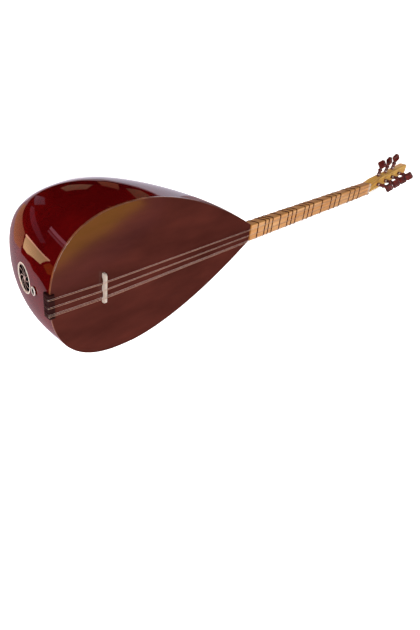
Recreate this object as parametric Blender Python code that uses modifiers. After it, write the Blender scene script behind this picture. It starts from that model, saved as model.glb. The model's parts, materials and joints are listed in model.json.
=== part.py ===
# Short-neck baglama: a deep carved bowl under a flat soundboard, a neck with tied frets,
# a peghead that bends back, and seven friction pegs with their strings.
#
# Everything is drawn in the instrument's own frame: the origin is the tail end of the
# soundboard's centre line, +X runs to the peghead, +Y to the side that the side pegs are
# on, and +Z out of the soundboard. One empty then lays the instrument on its back, so that
# the bowl and the end of the peghead stand on z = 0.

import math

import bmesh
import bpy
from mathutils import Matrix, Vector

# Clearance between pieces that touch
GAP = 0.0003

# Bowl, metres
BOWL_LENGTH = 0.410
BOWL_WIDTH = 0.248
BOWL_DEPTH = 0.201
WIDEST_AT = 0.146
DEEPEST_AT = 0.122
BOWL_WALL = 0.005
NECK_BLOCK_LENGTH = 0.060

# Shape numbers of the bowl's outline, back line and cross-section
TAIL_CORNER, TAIL_ROUND = 2.72, 2.15
SHOULDER_START, SHOULDER_END = 1.64, 0.99
BACK_CORNER, BACK_ROUND = 4.8, 1.36
HEEL_START, HEEL_END = 1.64, 2.6
SECTION_SIDE, SECTION_BOTTOM = 2.28, 3.1
NECK_SIDE, NECK_BOTTOM = 1.9, 2.0
SECTION_BLEND_FROM = 0.28
BELLY = 0.034

# Soundboard and its braces
BOARD_THICKNESS = 0.003
FIRST_BRACE_AT = 0.185
SECOND_BRACE_AT = 0.275
BRACE_WIDTH = 0.006
BRACE_HEIGHT = 0.010
BRACE_FLANK = 0.007
BRACE_END_HEIGHT = 0.0033
BRACE_TAPER_FROM = 0.75
BRACE_END_CLEARANCE = 0.004

# Strings: length from bridge to nut, and their places across
SCALE_LENGTH = 0.7217
COURSE_AT_BRIDGE = 0.0128
COURSE_AT_NUT = 0.0090
STRING_STEP_AT_BRIDGE = 0.0020
STRING_STEP_AT_NUT = 0.0015
STRING_RADIUS = 0.0002
WOUND_STRING_RADIUS = 0.0003

# Neck
NECK_WIDTH_AT_BODY = 0.033
NECK_WIDTH_AT_NUT = 0.0275
NECK_DEPTH_AT_BODY = 0.027
NECK_DEPTH_AT_NUT = 0.022
NECK_RISE = 0.002
NECK_SIDE_LEAN = 13.0
NECK_EDGE_RADIUS = 0.0022
NECK_BACK_RADIUS = 0.0088
TENON_LENGTH = 0.040
TENON_WIDTH = 0.018
TENON_FLARE = 0.004
TENON_DEPTH = 0.016
TENON_ROOT = 0.004

# Frets, as semitones above the open string
FRET_SEMITONES = (1, 1.5, 2, 3, 3.5, 4, 5, 6, 6.5, 7, 8, 8.5, 9, 10, 11, 11.5, 12, 13)
LAST_FRET_FROM_BODY = 0.0186
FRET_WIDTH = 0.0026
FRET_THICKNESS = 0.0008

# Nut, bridge and tail strip
NUT_THICKNESS = 0.004
NUT_HEIGHT = 0.003
NUT_SEAT = 0.002
NUT_LIP = 0.001
NUT_END_INSET = 0.0007
NUT_BACK_DROP = 0.0022
BRIDGE_LENGTH = 0.050
BRIDGE_HEIGHT = 0.008
BRIDGE_THICKNESS = 0.0048
BRIDGE_TOP_THICKNESS = 0.0030
BRIDGE_END_HEIGHT = 0.0052
BRIDGE_END_RUN = 0.0026
BRIDGE_FOOT = 0.0070
BRIDGE_ARCH_HEIGHT = 0.0020
SLOT_DEPTH = 0.0008
SLOT_WIDTH = 0.0012
SLOT_ABOVE = 0.0020
TAIL_STRIP_WIDTH = 0.038
TAIL_STRIP_LENGTH = 0.010
TAIL_STRIP_PROUD = 0.0035
TAIL_STRIP_RISE = 0.004
TAIL_STRIP_DROP = 0.011
TAIL_STRIP_LIP = 0.0017
TAIL_STRIP_EASE = 0.0012
TAIL_SLOT_DEPTH = 0.0015
STRING_TAIL_DROP = 0.009

# Peghead
PEGHEAD_LENGTH = 0.222
PEGHEAD_BEND = 6.5
PEGHEAD_STEP = 0.002
PEGHEAD_WIDTH = 0.0255
PEGHEAD_END_WIDTH = 0.022
PEGHEAD_END_DEPTH = 0.0195
PEGHEAD_SIDE_LEAN = 4.0
PEGHEAD_BLEND = 0.036
PEGHEAD_EDGE_RADIUS = 0.0030
PEGHEAD_BACK_RADIUS = 0.0055
PEGHEAD_DOME = 0.013
PEGHEAD_END_SHARE = 0.42
STRAP_HOLE_RADIUS = 0.0015
STRAP_HOLE_DEPTH = 0.012

# Pegs: one turn, in degrees, for each peg, as the player left it
FIRST_PEG_AT = 0.046
PEG_PITCH = 0.0395
PEG_LEAN = 10.0
FRONT_PEG_TURNS = (80, 62, 48, 100)
SIDE_PEG_TURNS = (72, 40, -12)
SHANK_RADIUS = 0.0036
SHANK_TIP_RADIUS = 0.0028
WAIST_RADIUS = 0.0038
WAIST_HEIGHT = 0.0165
BEAD_RADIUS = 0.0052
BEAD_HEIGHT = 0.0145
BEAD_FLAT = 0.0016
BEAD_FOOT = 0.0022
HEAD_CENTRE = 0.0275
HEAD_RADIUS = 0.0104
HEAD_LOBE = 0.16
HEAD_STRETCH = 1.12
HEAD_THICKNESS = 0.0084
HEAD_CROWN = 0.0018
HEAD_CROWN_WIDTH = 0.0029
WINDING_HEIGHT = 0.0045
WINDING_WIDTH = 0.0032
WINDING_THICKNESS = 0.0005

# Sound hole, its ring and lattice, in the tail wall
HOLE_DEPTH_FROM_TOP = 0.0843
HOLE_RING_RADIUS = 0.0241
HOLE_RADIUS = 0.0208
LATTICE_RADIUS = 0.0220
RING_THICKNESS = 0.0025
RING_BEVEL = 0.0007
LATTICE_THICKNESS = 0.0014
LATTICE_OPENINGS = 8
LATTICE_BAR = 0.0014
LATTICE_HUB = 0.0040
LATTICE_TWIST = 58.0

# Jack socket, pickup and lead
JACK_DEPTH_FROM_TOP = 0.0464
JACK_BORE_RADIUS = 0.0033
JACK_BARREL_RADIUS = 0.0048
JACK_BODY_RADIUS = 0.0070
JACK_BODY_LENGTH = 0.018
JACK_FLOOR = 0.0025
JACK_NUT_RADIUS = 0.0070
JACK_NUT_THICKNESS = 0.0016
JACK_NUT_BEVEL = 0.0005
JACK_FLANGE_CLEARANCE = 0.0009
PICKUP_FROM_TAIL = 0.135
PICKUP_FROM_CENTRE = 0.022
PICKUP_RADIUS = 0.0135
PICKUP_THICKNESS = 0.0012
LEAD_RADIUS = 0.0011

# How far a cutter reaches past the surface that it cuts
CUT_PAST = 0.010

# Facets
BOWL_SEGMENTS = 23
HOLLOW_SEGMENTS = 15
ROUND_SIDES = 12
RING_SIDES = 24
HEAD_SIDES = 28
EDGE_STEPS = 2
BACK_STEPS = 5
ARCH_STEPS = 6
SWIRL_STEPS = 5
SWIRL_RIM_STEPS = 3
DOME_ANGLES = (25, 50, 70, 85)

# Sizes that follow from the ones above
RIM = BOARD_THICKNESS + GAP
LAST_FRET_FROM_BRIDGE = SCALE_LENGTH * 2 ** (-FRET_SEMITONES[-1] / 12)
BRIDGE_FROM_TAIL = BOWL_LENGTH + LAST_FRET_FROM_BODY - LAST_FRET_FROM_BRIDGE
NUT_AT = BRIDGE_FROM_TAIL + SCALE_LENGTH
NECK_START = BOWL_LENGTH + GAP
NECK_END = NUT_AT + NUT_THICKNESS + GAP
PEGHEAD_START = NECK_END + GAP
PEGHEAD_DEPTH = NECK_DEPTH_AT_NUT + NECK_RISE - PEGHEAD_STEP
NUT_TOP = NECK_RISE + NUT_HEIGHT
STRING_AT_NUT = NUT_TOP - SLOT_DEPTH + GAP + WOUND_STRING_RADIUS
STRING_AT_BRIDGE = GAP + BRIDGE_HEIGHT - SLOT_DEPTH + GAP + WOUND_STRING_RADIUS
STRING_AT_TAIL = TAIL_STRIP_RISE - TAIL_SLOT_DEPTH + GAP + WOUND_STRING_RADIUS
BEND = math.radians(PEGHEAD_BEND)
LEAN = math.radians(PEG_LEAN)
ALONG_PEGHEAD = Vector((math.cos(BEND), 0, -math.sin(BEND)))
OUT_OF_PEGHEAD = Vector((math.sin(BEND), 0, math.cos(BEND)))
PEGHEAD_FACE = Vector((PEGHEAD_START, 0, NECK_RISE - PEGHEAD_STEP))

FINISHES = {
    "bowl_lacquer": ((0.105, 0.010, 0.009), 0.12, 0.0),
    "board_lacquer": ((0.110, 0.030, 0.018), 0.25, 0.0),
    "spruce": ((0.62, 0.44, 0.24), 0.6, 0.0),
    "neck_wood": ((0.56, 0.27, 0.07), 0.35, 0.0),
    "peg_wood": ((0.080, 0.012, 0.008), 0.25, 0.0),
    "bone": ((0.80, 0.72, 0.62), 0.4, 0.0),
    "ebony": ((0.035, 0.016, 0.014), 0.35, 0.0),
    "fret_line": ((0.060, 0.018, 0.010), 0.5, 0.0),
    "steel": ((0.62, 0.58, 0.56), 0.3, 1.0),
    "brass": ((0.68, 0.49, 0.20), 0.35, 1.0),
    "nickel": ((0.72, 0.70, 0.66), 0.25, 1.0),
    "lead_cover": ((0.02, 0.02, 0.02), 0.6, 0.0),
}


# Scene helpers

for old in list(bpy.data.objects):
    bpy.data.objects.remove(old, do_unlink=True)

parts = bpy.data.collections.new("short_neck_baglama")
cutters = bpy.data.collections.new("cutters")
bpy.context.scene.collection.children.link(parts)
bpy.context.scene.collection.children.link(cutters)

rest = bpy.data.objects.new("rest", None)
parts.objects.link(rest)


def finish(name, kind):
    colour, roughness, metallic = FINISHES[kind]
    material = bpy.data.materials.new(name + "_" + kind)
    material.use_nodes = True
    shader = material.node_tree.nodes["Principled BSDF"]
    shader.inputs["Base Color"].default_value = (*colour, 1.0)
    shader.inputs["Roughness"].default_value = roughness
    shader.inputs["Metallic"].default_value = metallic
    return material


def add_part(name, mesh, kind, place=None):
    obj = bpy.data.objects.new(name, mesh)
    mesh.materials.append(finish(name, kind))
    parts.objects.link(obj)
    obj.parent = rest
    if place is not None:
        obj.matrix_local = place
    return obj


def add_cutter(name, mesh, place=None):
    obj = bpy.data.objects.new(name, mesh)
    cutters.objects.link(obj)
    obj.parent = rest
    obj.hide_render = True
    obj.display_type = "WIRE"
    if place is not None:
        obj.matrix_local = place
    return obj


def combine(obj, other, operation):
    modifier = obj.modifiers.new(operation.lower(), "BOOLEAN")
    modifier.operation = operation
    modifier.object = other


def shade(mesh, angle=35):
    mesh.shade_smooth()
    mesh.set_sharp_from_angle(angle=math.radians(angle))


def loft(name, rings, start=None):
    """A closed skin over rings of equal count, from a point or a cap to a cap."""
    bm = bmesh.new()
    loops = [[bm.verts.new(p) for p in ring] for ring in rings]
    count = len(rings[0])
    if start is None:
        bm.faces.new(loops[0])
    else:
        tip = bm.verts.new(start)
        for i in range(count):
            bm.faces.new((tip, loops[0][i], loops[0][(i + 1) % count]))
    for a, b in zip(loops, loops[1:]):
        for i in range(count):
            j = (i + 1) % count
            bm.faces.new((a[i], b[i], b[j], a[j]))
    bm.faces.new(loops[-1])
    bmesh.ops.recalc_face_normals(bm, faces=bm.faces)
    mesh = bpy.data.meshes.new(name)
    bm.to_mesh(mesh)
    bm.free()
    shade(mesh)
    return mesh


def box(name, low, high):
    bm = bmesh.new()
    bmesh.ops.create_cube(bm, size=1.0)
    low, high = Vector(low), Vector(high)
    for vert in bm.verts:
        share = vert.co + Vector((0.5, 0.5, 0.5))
        vert.co = Vector([a + (b - a) * s for a, b, s in zip(low, high, share)])
    mesh = bpy.data.meshes.new(name)
    bm.to_mesh(mesh)
    bm.free()
    return mesh


def cylinder(name, radius, low, high, sides):
    bm = bmesh.new()
    bmesh.ops.create_cone(
        bm, cap_ends=True, segments=sides, radius1=radius, radius2=radius, depth=high - low
    )
    bmesh.ops.translate(bm, verts=bm.verts, vec=(0, 0, (low + high) / 2))
    mesh = bpy.data.meshes.new(name)
    bm.to_mesh(mesh)
    bm.free()
    return mesh


def turned(obj, sides):
    modifier = obj.modifiers.new("turn", "SCREW")
    modifier.axis = "Z"
    modifier.steps = sides
    modifier.render_steps = sides
    modifier.use_merge_vertices = True
    modifier.merge_threshold = 0.00001


def profile(name, points, closed):
    """A line of (radius, height) points in the XZ plane, to be turned about Z."""
    mesh = bpy.data.meshes.new(name)
    edges = [(i, i + 1) for i in range(len(points) - 1)]
    if closed:
        edges.append((len(points) - 1, 0))
    mesh.from_pydata([(r, 0, z) for r, z in points], edges, [])
    return mesh


def plate(name, outline, thickness):
    """A flat outline in the XY plane, filled and made thickness thick about z = 0."""
    curve = bpy.data.curves.new(name, "CURVE")
    curve.dimensions = "2D"
    curve.fill_mode = "BOTH"
    curve.extrude = thickness / 2
    spline = curve.splines.new("POLY")
    spline.points.add(len(outline) - 1)
    for point, (x, y) in zip(spline.points, outline):
        point.co = (x, y, 0, 1)
    spline.use_cyclic_u = True
    return curve_to_mesh(name, curve)


def tube(name, points, radius):
    """A round wire along the points."""
    curve = bpy.data.curves.new(name, "CURVE")
    curve.dimensions = "3D"
    curve.bevel_depth = radius
    curve.bevel_resolution = 2
    curve.render_resolution_u = 0
    curve.use_fill_caps = True
    spline = curve.splines.new("POLY")
    spline.points.add(len(points) - 1)
    for point, co in zip(spline.points, points):
        point.co = (*co, 1)
    return curve_to_mesh(name, curve)


def curve_to_mesh(name, curve):
    guide = bpy.data.objects.new(name + "_guide", curve)
    bpy.context.scene.collection.objects.link(guide)
    depsgraph = bpy.context.evaluated_depsgraph_get()
    mesh = bpy.data.meshes.new_from_object(guide.evaluated_get(depsgraph))
    mesh.name = name
    bpy.data.objects.remove(guide, do_unlink=True)
    bm = bmesh.new()
    bm.from_mesh(mesh)
    bmesh.ops.remove_doubles(bm, verts=bm.verts, dist=0.00001)
    bmesh.ops.recalc_face_normals(bm, faces=bm.faces)
    bm.to_mesh(mesh)
    bm.free()
    shade(mesh)
    return mesh


def frame_at(origin, up, ahead=Vector((0, 1, 0))):
    """A matrix with its Z along up, its Y close to ahead and its origin as given."""
    z = up.normalized()
    x = ahead.cross(z).normalized()
    y = z.cross(x)
    turn = Matrix((x, y, z)).transposed().to_4x4()
    return Matrix.Translation(origin) @ turn


def blend(a, b, share):
    return a + (b - a) * share


# Forms of the bowl

def half_width(x, inset=0.0):
    """Half the width of the bowl's outline at x; inset gives the line inside the wall."""
    if x < WIDEST_AT:
        u = (WIDEST_AT - x) / (WIDEST_AT - inset)
        return (BOWL_WIDTH / 2 - inset) * max(0.0, 1 - u ** TAIL_CORNER) ** (1 / TAIL_ROUND)
    t = (x - WIDEST_AT) / (BOWL_LENGTH - WIDEST_AT)
    end = NECK_WIDTH_AT_BODY / 2
    return end + (BOWL_WIDTH / 2 - end) * (1 - t ** SHOULDER_START) ** SHOULDER_END - inset


def depth(x, inset=0.0):
    """Depth of the bowl's back line under the soundboard's face at x."""
    if x < DEEPEST_AT:
        u = (DEEPEST_AT - x) / (DEEPEST_AT - inset)
        return (BOWL_DEPTH - inset) * max(0.0, 1 - u ** BACK_CORNER) ** (1 / BACK_ROUND)
    t = (x - DEEPEST_AT) / (BOWL_LENGTH - DEEPEST_AT)
    swell = (1 - t ** HEEL_START) ** HEEL_END
    return NECK_DEPTH_AT_BODY + (BOWL_DEPTH - NECK_DEPTH_AT_BODY) * swell - inset


def tail_x(down, inset=0.0):
    """Where the tail wall on the centre line is, at a depth under the face."""
    share = (down / (BOWL_DEPTH - inset)) ** BACK_ROUND
    return inset + (DEEPEST_AT - inset) * (1 - (1 - share) ** (1 / BACK_CORNER))


def section(x, segments, inset=0.0):
    """The bowl's cross-section at x, from the +Y rim under the bottom to the -Y rim."""
    share = max(0.0, (x - SECTION_BLEND_FROM) / (BOWL_LENGTH - SECTION_BLEND_FROM))
    share = share * share * (3 - 2 * share)
    side = blend(SECTION_SIDE, NECK_SIDE, share)
    bottom = blend(SECTION_BOTTOM, NECK_BOTTOM, share)
    wide = half_width(x, inset)
    deep = max(0.0, depth(x, inset) - RIM)
    points = []
    for i in range(segments + 1):
        angle = math.pi * i / segments
        drop = math.sin(angle) ** (2 / bottom) if 0 < i < segments else 0.0
        swell = 1 + BELLY * 4 * drop * (1 - drop)
        across = abs(math.cos(angle)) ** (2 / side) * swell * wide
        points.append((x, math.copysign(across, math.cos(angle)), -RIM - deep * drop))
    return points


def stations(rear, front, inset=0.0, end=BOWL_LENGTH):
    """Stations of the sections: even steps of depth at the tail, of length to the neck."""
    xs = []
    for i in range(1, rear):
        down = (BOWL_DEPTH - inset) * math.sin(math.pi / 2 * i / rear)
        xs.append(tail_x(down, inset))
    xs.append((xs[-1] + DEEPEST_AT) / 2)
    xs += [blend(DEEPEST_AT, end, i / front) for i in range(front + 1)]
    return xs


# Bowl

def make_bowl():
    outer = [section(x, BOWL_SEGMENTS) for x in stations(12, 12)]
    bowl = add_part("bowl", loft("bowl", outer, start=(0, 0, -RIM)), "bowl_lacquer")

    # The hollow runs up past the rim, and stops short of the solid block at the neck
    above = CUT_PAST
    rings = []
    for x in stations(8, 8, BOWL_WALL, BOWL_LENGTH - NECK_BLOCK_LENGTH):
        ring = section(x, HOLLOW_SEGMENTS, BOWL_WALL)
        first, last = ring[0], ring[-1]
        rings.append([(x, first[1], above)] + ring + [(x, last[1], above)])
    tip = (BOWL_WALL, 0, -RIM)
    combine(bowl, add_cutter("bowl_hollow", loft("bowl_hollow", rings, start=tip)), "DIFFERENCE")

    # Mortise for the neck's dovetail
    low = -RIM - TENON_DEPTH - GAP
    mortise = dovetail("bowl_mortise", GAP, low, above, BOWL_LENGTH + above)
    combine(bowl, add_cutter("bowl_mortise", mortise), "DIFFERENCE")

    # Seat of the tail strip
    half = TAIL_STRIP_WIDTH / 2 + GAP
    seat = box(
        "bowl_tail_seat",
        (-above, -half, -TAIL_STRIP_DROP - GAP),
        (TAIL_STRIP_LIP + GAP, half, above),
    )
    combine(bowl, add_cutter("bowl_tail_seat", seat), "DIFFERENCE")

    # Sound hole: a shallow round seat for the ring, and the hole through its floor
    place = hole_frame()
    seat_depth = RING_THICKNESS + GAP
    ring_seat = cylinder("hole_seat", HOLE_RING_RADIUS + GAP, -seat_depth, above, 2 * RING_SIDES)
    through = cylinder("hole_through", HOLE_RADIUS, -2 * BOWL_WALL, above, RING_SIDES)
    combine(bowl, add_cutter("hole_seat", ring_seat, place), "DIFFERENCE")
    combine(bowl, add_cutter("hole_through", through, place), "DIFFERENCE")

    # Hole for the jack's barrel
    drill = cylinder("jack_hole", JACK_BARREL_RADIUS + GAP, -3 * BOWL_WALL, above, RING_SIDES)
    combine(bowl, add_cutter("jack_hole", drill, jack_frame()), "DIFFERENCE")
    return bowl


def dovetail(name, grow, low, high, front):
    """The neck's wedge, wider at its tail end than where it enters the bowl."""
    tip = BOWL_LENGTH - TENON_LENGTH - grow
    slope = TENON_FLARE / TENON_LENGTH
    rings = []
    for x in (tip, front):
        half = TENON_WIDTH / 2 + grow + max(0.0, BOWL_LENGTH - x) * slope / 2
        rings.append([(x, half, high), (x, half, low), (x, -half, low), (x, -half, high)])
    return loft(name, rings)


def hole_frame():
    """Centre of the sound hole on the tail wall, with Z out of the wall."""
    half = HOLE_RADIUS / 10
    x = tail_x(HOLE_DEPTH_FROM_TOP)
    run = tail_x(HOLE_DEPTH_FROM_TOP + half) - tail_x(HOLE_DEPTH_FROM_TOP - half)
    slope = math.atan2(run, 2 * half)
    out = Vector((-math.cos(slope), 0, -math.sin(slope)))
    return frame_at(Vector((x, 0, -HOLE_DEPTH_FROM_TOP)), out)


def jack_frame():
    """Centre of the jack on the tail wall; its bore lies level when the bowl is at rest."""
    out = Vector((-math.cos(REST_TILT), 0, -math.sin(REST_TILT)))
    return frame_at(Vector((tail_x(JACK_DEPTH_FROM_TOP), 0, -JACK_DEPTH_FROM_TOP)), out)


# Soundboard, braces, pickup

def board_outline():
    right = [(x, half_width(x)) for x in stations(14, 16)]
    left = [(x, -y) for x, y in reversed(right)]
    return [(0.0, 0.0)] + right + left


def make_soundboard():
    mesh = plate("soundboard", board_outline(), BOARD_THICKNESS)
    mesh.transform(Matrix.Translation((0, 0, -BOARD_THICKNESS / 2)))
    board = add_part("soundboard", mesh, "board_lacquer")
    half = TAIL_STRIP_WIDTH / 2 + GAP
    reach = TAIL_STRIP_LENGTH - TAIL_STRIP_PROUD + GAP
    notch = box("board_notch", (-reach, -half, -2 * BOARD_THICKNESS), (reach, half, reach))
    combine(board, add_cutter("board_notch", notch), "DIFFERENCE")


def make_brace(name, x):
    """A bar across the underside of the soundboard, thinned towards both ends."""
    top = -BOARD_THICKNESS - GAP
    reach = half_width(x, BOWL_WALL) - BRACE_END_CLEARANCE
    rings = []
    half = BRACE_WIDTH / 2
    for share in (-1.0, -BRACE_TAPER_FROM, BRACE_TAPER_FROM, 1.0):
        tall = BRACE_HEIGHT if abs(share) < 1 else BRACE_END_HEIGHT
        flank = tall * BRACE_FLANK / BRACE_HEIGHT
        y = reach * share
        rings.append(
            [
                (x - half, y, top),
                (x + half, y, top),
                (x + half, y, top - flank),
                (x, y, top - tall),
                (x - half, y, top - flank),
            ]
        )
    add_part(name, loft(name, rings), "spruce")


def pickup_top():
    return -BOARD_THICKNESS - GAP


def make_pickup():
    place = Matrix.Translation((PICKUP_FROM_TAIL, PICKUP_FROM_CENTRE, pickup_top()))
    disc = cylinder("pickup_disc", PICKUP_RADIUS, -PICKUP_THICKNESS, 0, RING_SIDES)
    shade(disc)
    add_part("pickup_disc", disc, "brass", place)


def make_lead():
    """The pickup's lead, from the disc along under the board and down to the jack."""
    under_disc = pickup_top() - PICKUP_THICKNESS - GAP - LEAD_RADIUS
    start = Vector((PICKUP_FROM_TAIL, PICKUP_FROM_CENTRE, under_disc))
    end = jack_frame() @ Vector((0, 0, jack_inner_end() - GAP))
    inward = jack_frame().to_3x3() @ Vector((0, 0, -1))
    # It runs along under the board, sags, and enters the jack straight from behind
    route = [
        start,
        start + Vector((-0.010, -0.002, -0.002)),
        start + Vector((-0.030, -0.006, -0.010)),
        start + Vector((-0.048, -0.012, -0.022)),
        end + inward * 0.022 + Vector((0, 0.003, 0.006)),
        end + inward * 0.010,
        end,
    ]
    add_part("pickup_lead", tube("pickup_lead", smooth(route, 4), LEAD_RADIUS), "lead_cover")


def smooth(points, steps):
    """Points of a Catmull-Rom curve through the given ones."""
    out = []
    last = len(points) - 1
    for i in range(last):
        a, b = points[max(i - 1, 0)], points[i]
        c, d = points[i + 1], points[min(i + 2, last)]
        for k in range(steps):
            t = k / steps
            out.append(
                0.5 * ((2 * b) + (c - a) * t + (2 * a - 5 * b + 4 * c - d) * t ** 2
                       + (3 * b - a - 3 * c + d) * t ** 3)
            )
    out.append(points[-1])
    return out


# Jack socket in the tail wall

def jack_flange():
    """Depth of the jack's inner flange under the wall's outside, along the bore."""
    return -BOWL_WALL - JACK_FLANGE_CLEARANCE


def jack_inner_end():
    return jack_flange() - JACK_BODY_LENGTH


def make_jack():
    out = GAP + JACK_NUT_THICKNESS
    floor = jack_inner_end() + JACK_FLOOR
    points = [
        (JACK_BORE_RADIUS, out),
        (JACK_BARREL_RADIUS, out),
        (JACK_BARREL_RADIUS, jack_flange()),
        (JACK_BODY_RADIUS, jack_flange()),
        (JACK_BODY_RADIUS, jack_inner_end()),
        (0, jack_inner_end()),
        (0, floor),
        (JACK_BORE_RADIUS, floor),
    ]
    ends_on_axis = points[6:] + points[:6]
    socket = add_part(
        "jack_socket", profile("jack_socket", ends_on_axis, False), "nickel", jack_frame()
    )
    turned(socket, RING_SIDES)

    inner = JACK_BARREL_RADIUS + GAP
    low = JACK_SEAT
    nut = [
        (JACK_NUT_RADIUS, low + JACK_NUT_THICKNESS - JACK_NUT_BEVEL),
        (JACK_NUT_RADIUS, low),
        (inner, low),
        (inner, low + JACK_NUT_THICKNESS),
        (JACK_NUT_RADIUS - JACK_NUT_BEVEL, low + JACK_NUT_THICKNESS),
    ]
    ring = add_part("jack_nut", profile("jack_nut", nut, True), "nickel", jack_frame())
    turned(ring, RING_SIDES)


# Sound hole ring and lattice

def make_hole_trim():
    place = hole_frame()
    inner = LATTICE_RADIUS + GAP
    outline = [
        (HOLE_RING_RADIUS, -RING_BEVEL),
        (HOLE_RING_RADIUS, -RING_THICKNESS),
        (inner, -RING_THICKNESS),
        (inner, 0),
        (HOLE_RING_RADIUS - RING_BEVEL, 0),
    ]
    ring = add_part("sound_hole_ring", profile("sound_hole_ring", outline, True), "bone", place)
    turned(ring, 2 * RING_SIDES)

    low = -RING_THICKNESS
    disc = cylinder(
        "sound_hole_lattice", LATTICE_RADIUS, low, low + LATTICE_THICKNESS, 2 * RING_SIDES
    )
    lattice = add_part("sound_hole_lattice", disc, "bone", place)
    step = 2 * math.pi / LATTICE_OPENINGS
    for i in range(LATTICE_OPENINGS):
        name = "lattice_opening_%d" % (i + 1)
        mesh = plate(name, swirl_outline(step), 4 * LATTICE_THICKNESS)
        mesh.transform(Matrix.Translation((0, 0, low)))
        turn = place @ Matrix.Rotation(i * step, 4, "Z")
        combine(lattice, add_cutter(name, mesh, turn), "DIFFERENCE")


def swirl_outline(step):
    """One opening between two curved bars, the hub and the rim of the lattice."""
    near, far = LATTICE_HUB, HOLE_RADIUS - GAP

    def bar_edge(share, side):
        radius = blend(near, far, share)
        centre = math.radians(LATTICE_TWIST) * share + side * step / 2
        angle = centre - side * math.asin(LATTICE_BAR / 2 / radius)
        return radius * math.cos(angle), radius * math.sin(angle)

    shares = [i / SWIRL_STEPS for i in range(SWIRL_STEPS + 1)]
    up = [bar_edge(s, -1) for s in shares]
    down = [bar_edge(s, 1) for s in reversed(shares)]
    start = math.atan2(up[-1][1], up[-1][0])
    end = math.atan2(down[0][1], down[0][0])
    if end < start:
        end += 2 * math.pi
    angles = [blend(start, end, k / SWIRL_RIM_STEPS) for k in range(1, SWIRL_RIM_STEPS)]
    arc = [(far * math.cos(angle), far * math.sin(angle)) for angle in angles]
    return up + arc + down


# Neck and peghead

def rounded_section(wide, deep, lean, edge, back):
    """A flat top, sides that lean in and a back with round corners: (y, z) from z = 0."""
    low = wide / 2 - deep * math.tan(lean)
    corners = [
        (Vector((wide / 2, 0)), edge, EDGE_STEPS),
        (Vector((low, -deep)), back, BACK_STEPS),
        (Vector((-low, -deep)), back, BACK_STEPS),
        (Vector((-wide / 2, 0)), edge, EDGE_STEPS),
    ]
    points = []
    for i, (corner, radius, steps) in enumerate(corners):
        before = (corners[i - 1][0] - corner).normalized()
        after = (corners[(i + 1) % len(corners)][0] - corner).normalized()
        half = before.angle(after) / 2
        centre = corner + (before + after).normalized() * radius / math.sin(half)
        start = corner + before * radius / math.tan(half) - centre
        for k in range(steps + 1):
            turn = Matrix.Rotation(-(math.pi - 2 * half) * k / steps, 2)
            points.append(tuple(centre + turn @ start))
    return points


def neck_size(x):
    share = (x - BOWL_LENGTH) / (NUT_AT - BOWL_LENGTH)
    wide = blend(NECK_WIDTH_AT_BODY, NECK_WIDTH_AT_NUT, share)
    deep = blend(NECK_DEPTH_AT_BODY, NECK_DEPTH_AT_NUT, share) + NECK_RISE
    return wide, deep


def neck_ring(x, grow=0.0):
    """The neck's section at x, or a line that runs round it at the distance grow."""
    wide, deep = neck_size(x)
    lean = math.radians(NECK_SIDE_LEAN)
    wide += 2 * grow * (1 / math.cos(lean) + math.tan(lean))
    deep += 2 * grow
    ring = rounded_section(wide, deep, lean, NECK_EDGE_RADIUS + grow, NECK_BACK_RADIUS + grow)
    return [(x, y, z + NECK_RISE + grow) for y, z in ring]


def make_neck():
    neck = add_part("neck", loft("neck", [neck_ring(NECK_START), neck_ring(NECK_END)]), "neck_wood")
    top = -RIM - GAP
    tenon = dovetail("neck_tenon", 0.0, top - TENON_DEPTH + GAP, top, NECK_START + TENON_ROOT)
    combine(neck, add_cutter("neck_tenon", tenon), "UNION")
    wide = NECK_WIDTH_AT_NUT
    seat = box(
        "nut_seat",
        (NUT_AT - GAP, -wide, NECK_RISE - NUT_SEAT),
        (NECK_END + wide, wide, wide),
    )
    combine(neck, add_cutter("nut_seat", seat), "DIFFERENCE")


def peghead_point(along, across, out):
    return PEGHEAD_FACE + ALONG_PEGHEAD * along + OUT_OF_PEGHEAD * out + Vector((0, across, 0))


def peghead_size(along):
    share = along / PEGHEAD_LENGTH
    return (
        blend(PEGHEAD_WIDTH, PEGHEAD_END_WIDTH, share),
        blend(PEGHEAD_DEPTH, PEGHEAD_END_DEPTH, share),
    )


def peghead_lean(along):
    share = min(1.0, along / PEGHEAD_BLEND)
    return math.radians(blend(NECK_SIDE_LEAN, PEGHEAD_SIDE_LEAN, share))


def peghead_section(along):
    """The section at a distance along the face: the neck's at its start, squarer later."""
    wide, deep = peghead_size(along)
    share = min(1.0, along / PEGHEAD_BLEND)
    edge = blend(NECK_EDGE_RADIUS, PEGHEAD_EDGE_RADIUS, share)
    back = blend(NECK_BACK_RADIUS, PEGHEAD_BACK_RADIUS, share)
    return rounded_section(wide, deep, peghead_lean(along), edge, back)


def dome_stops():
    """(distance along, share of the section) of the stations of the rounded end."""
    body = PEGHEAD_LENGTH - PEGHEAD_DOME
    stops = [(body, 1.0)]
    for angle in DOME_ANGLES:
        turn = math.radians(angle)
        share = PEGHEAD_END_SHARE + (1 - PEGHEAD_END_SHARE) * math.cos(turn)
        stops.append((body + PEGHEAD_DOME * math.sin(turn), share))
    return stops


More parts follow.
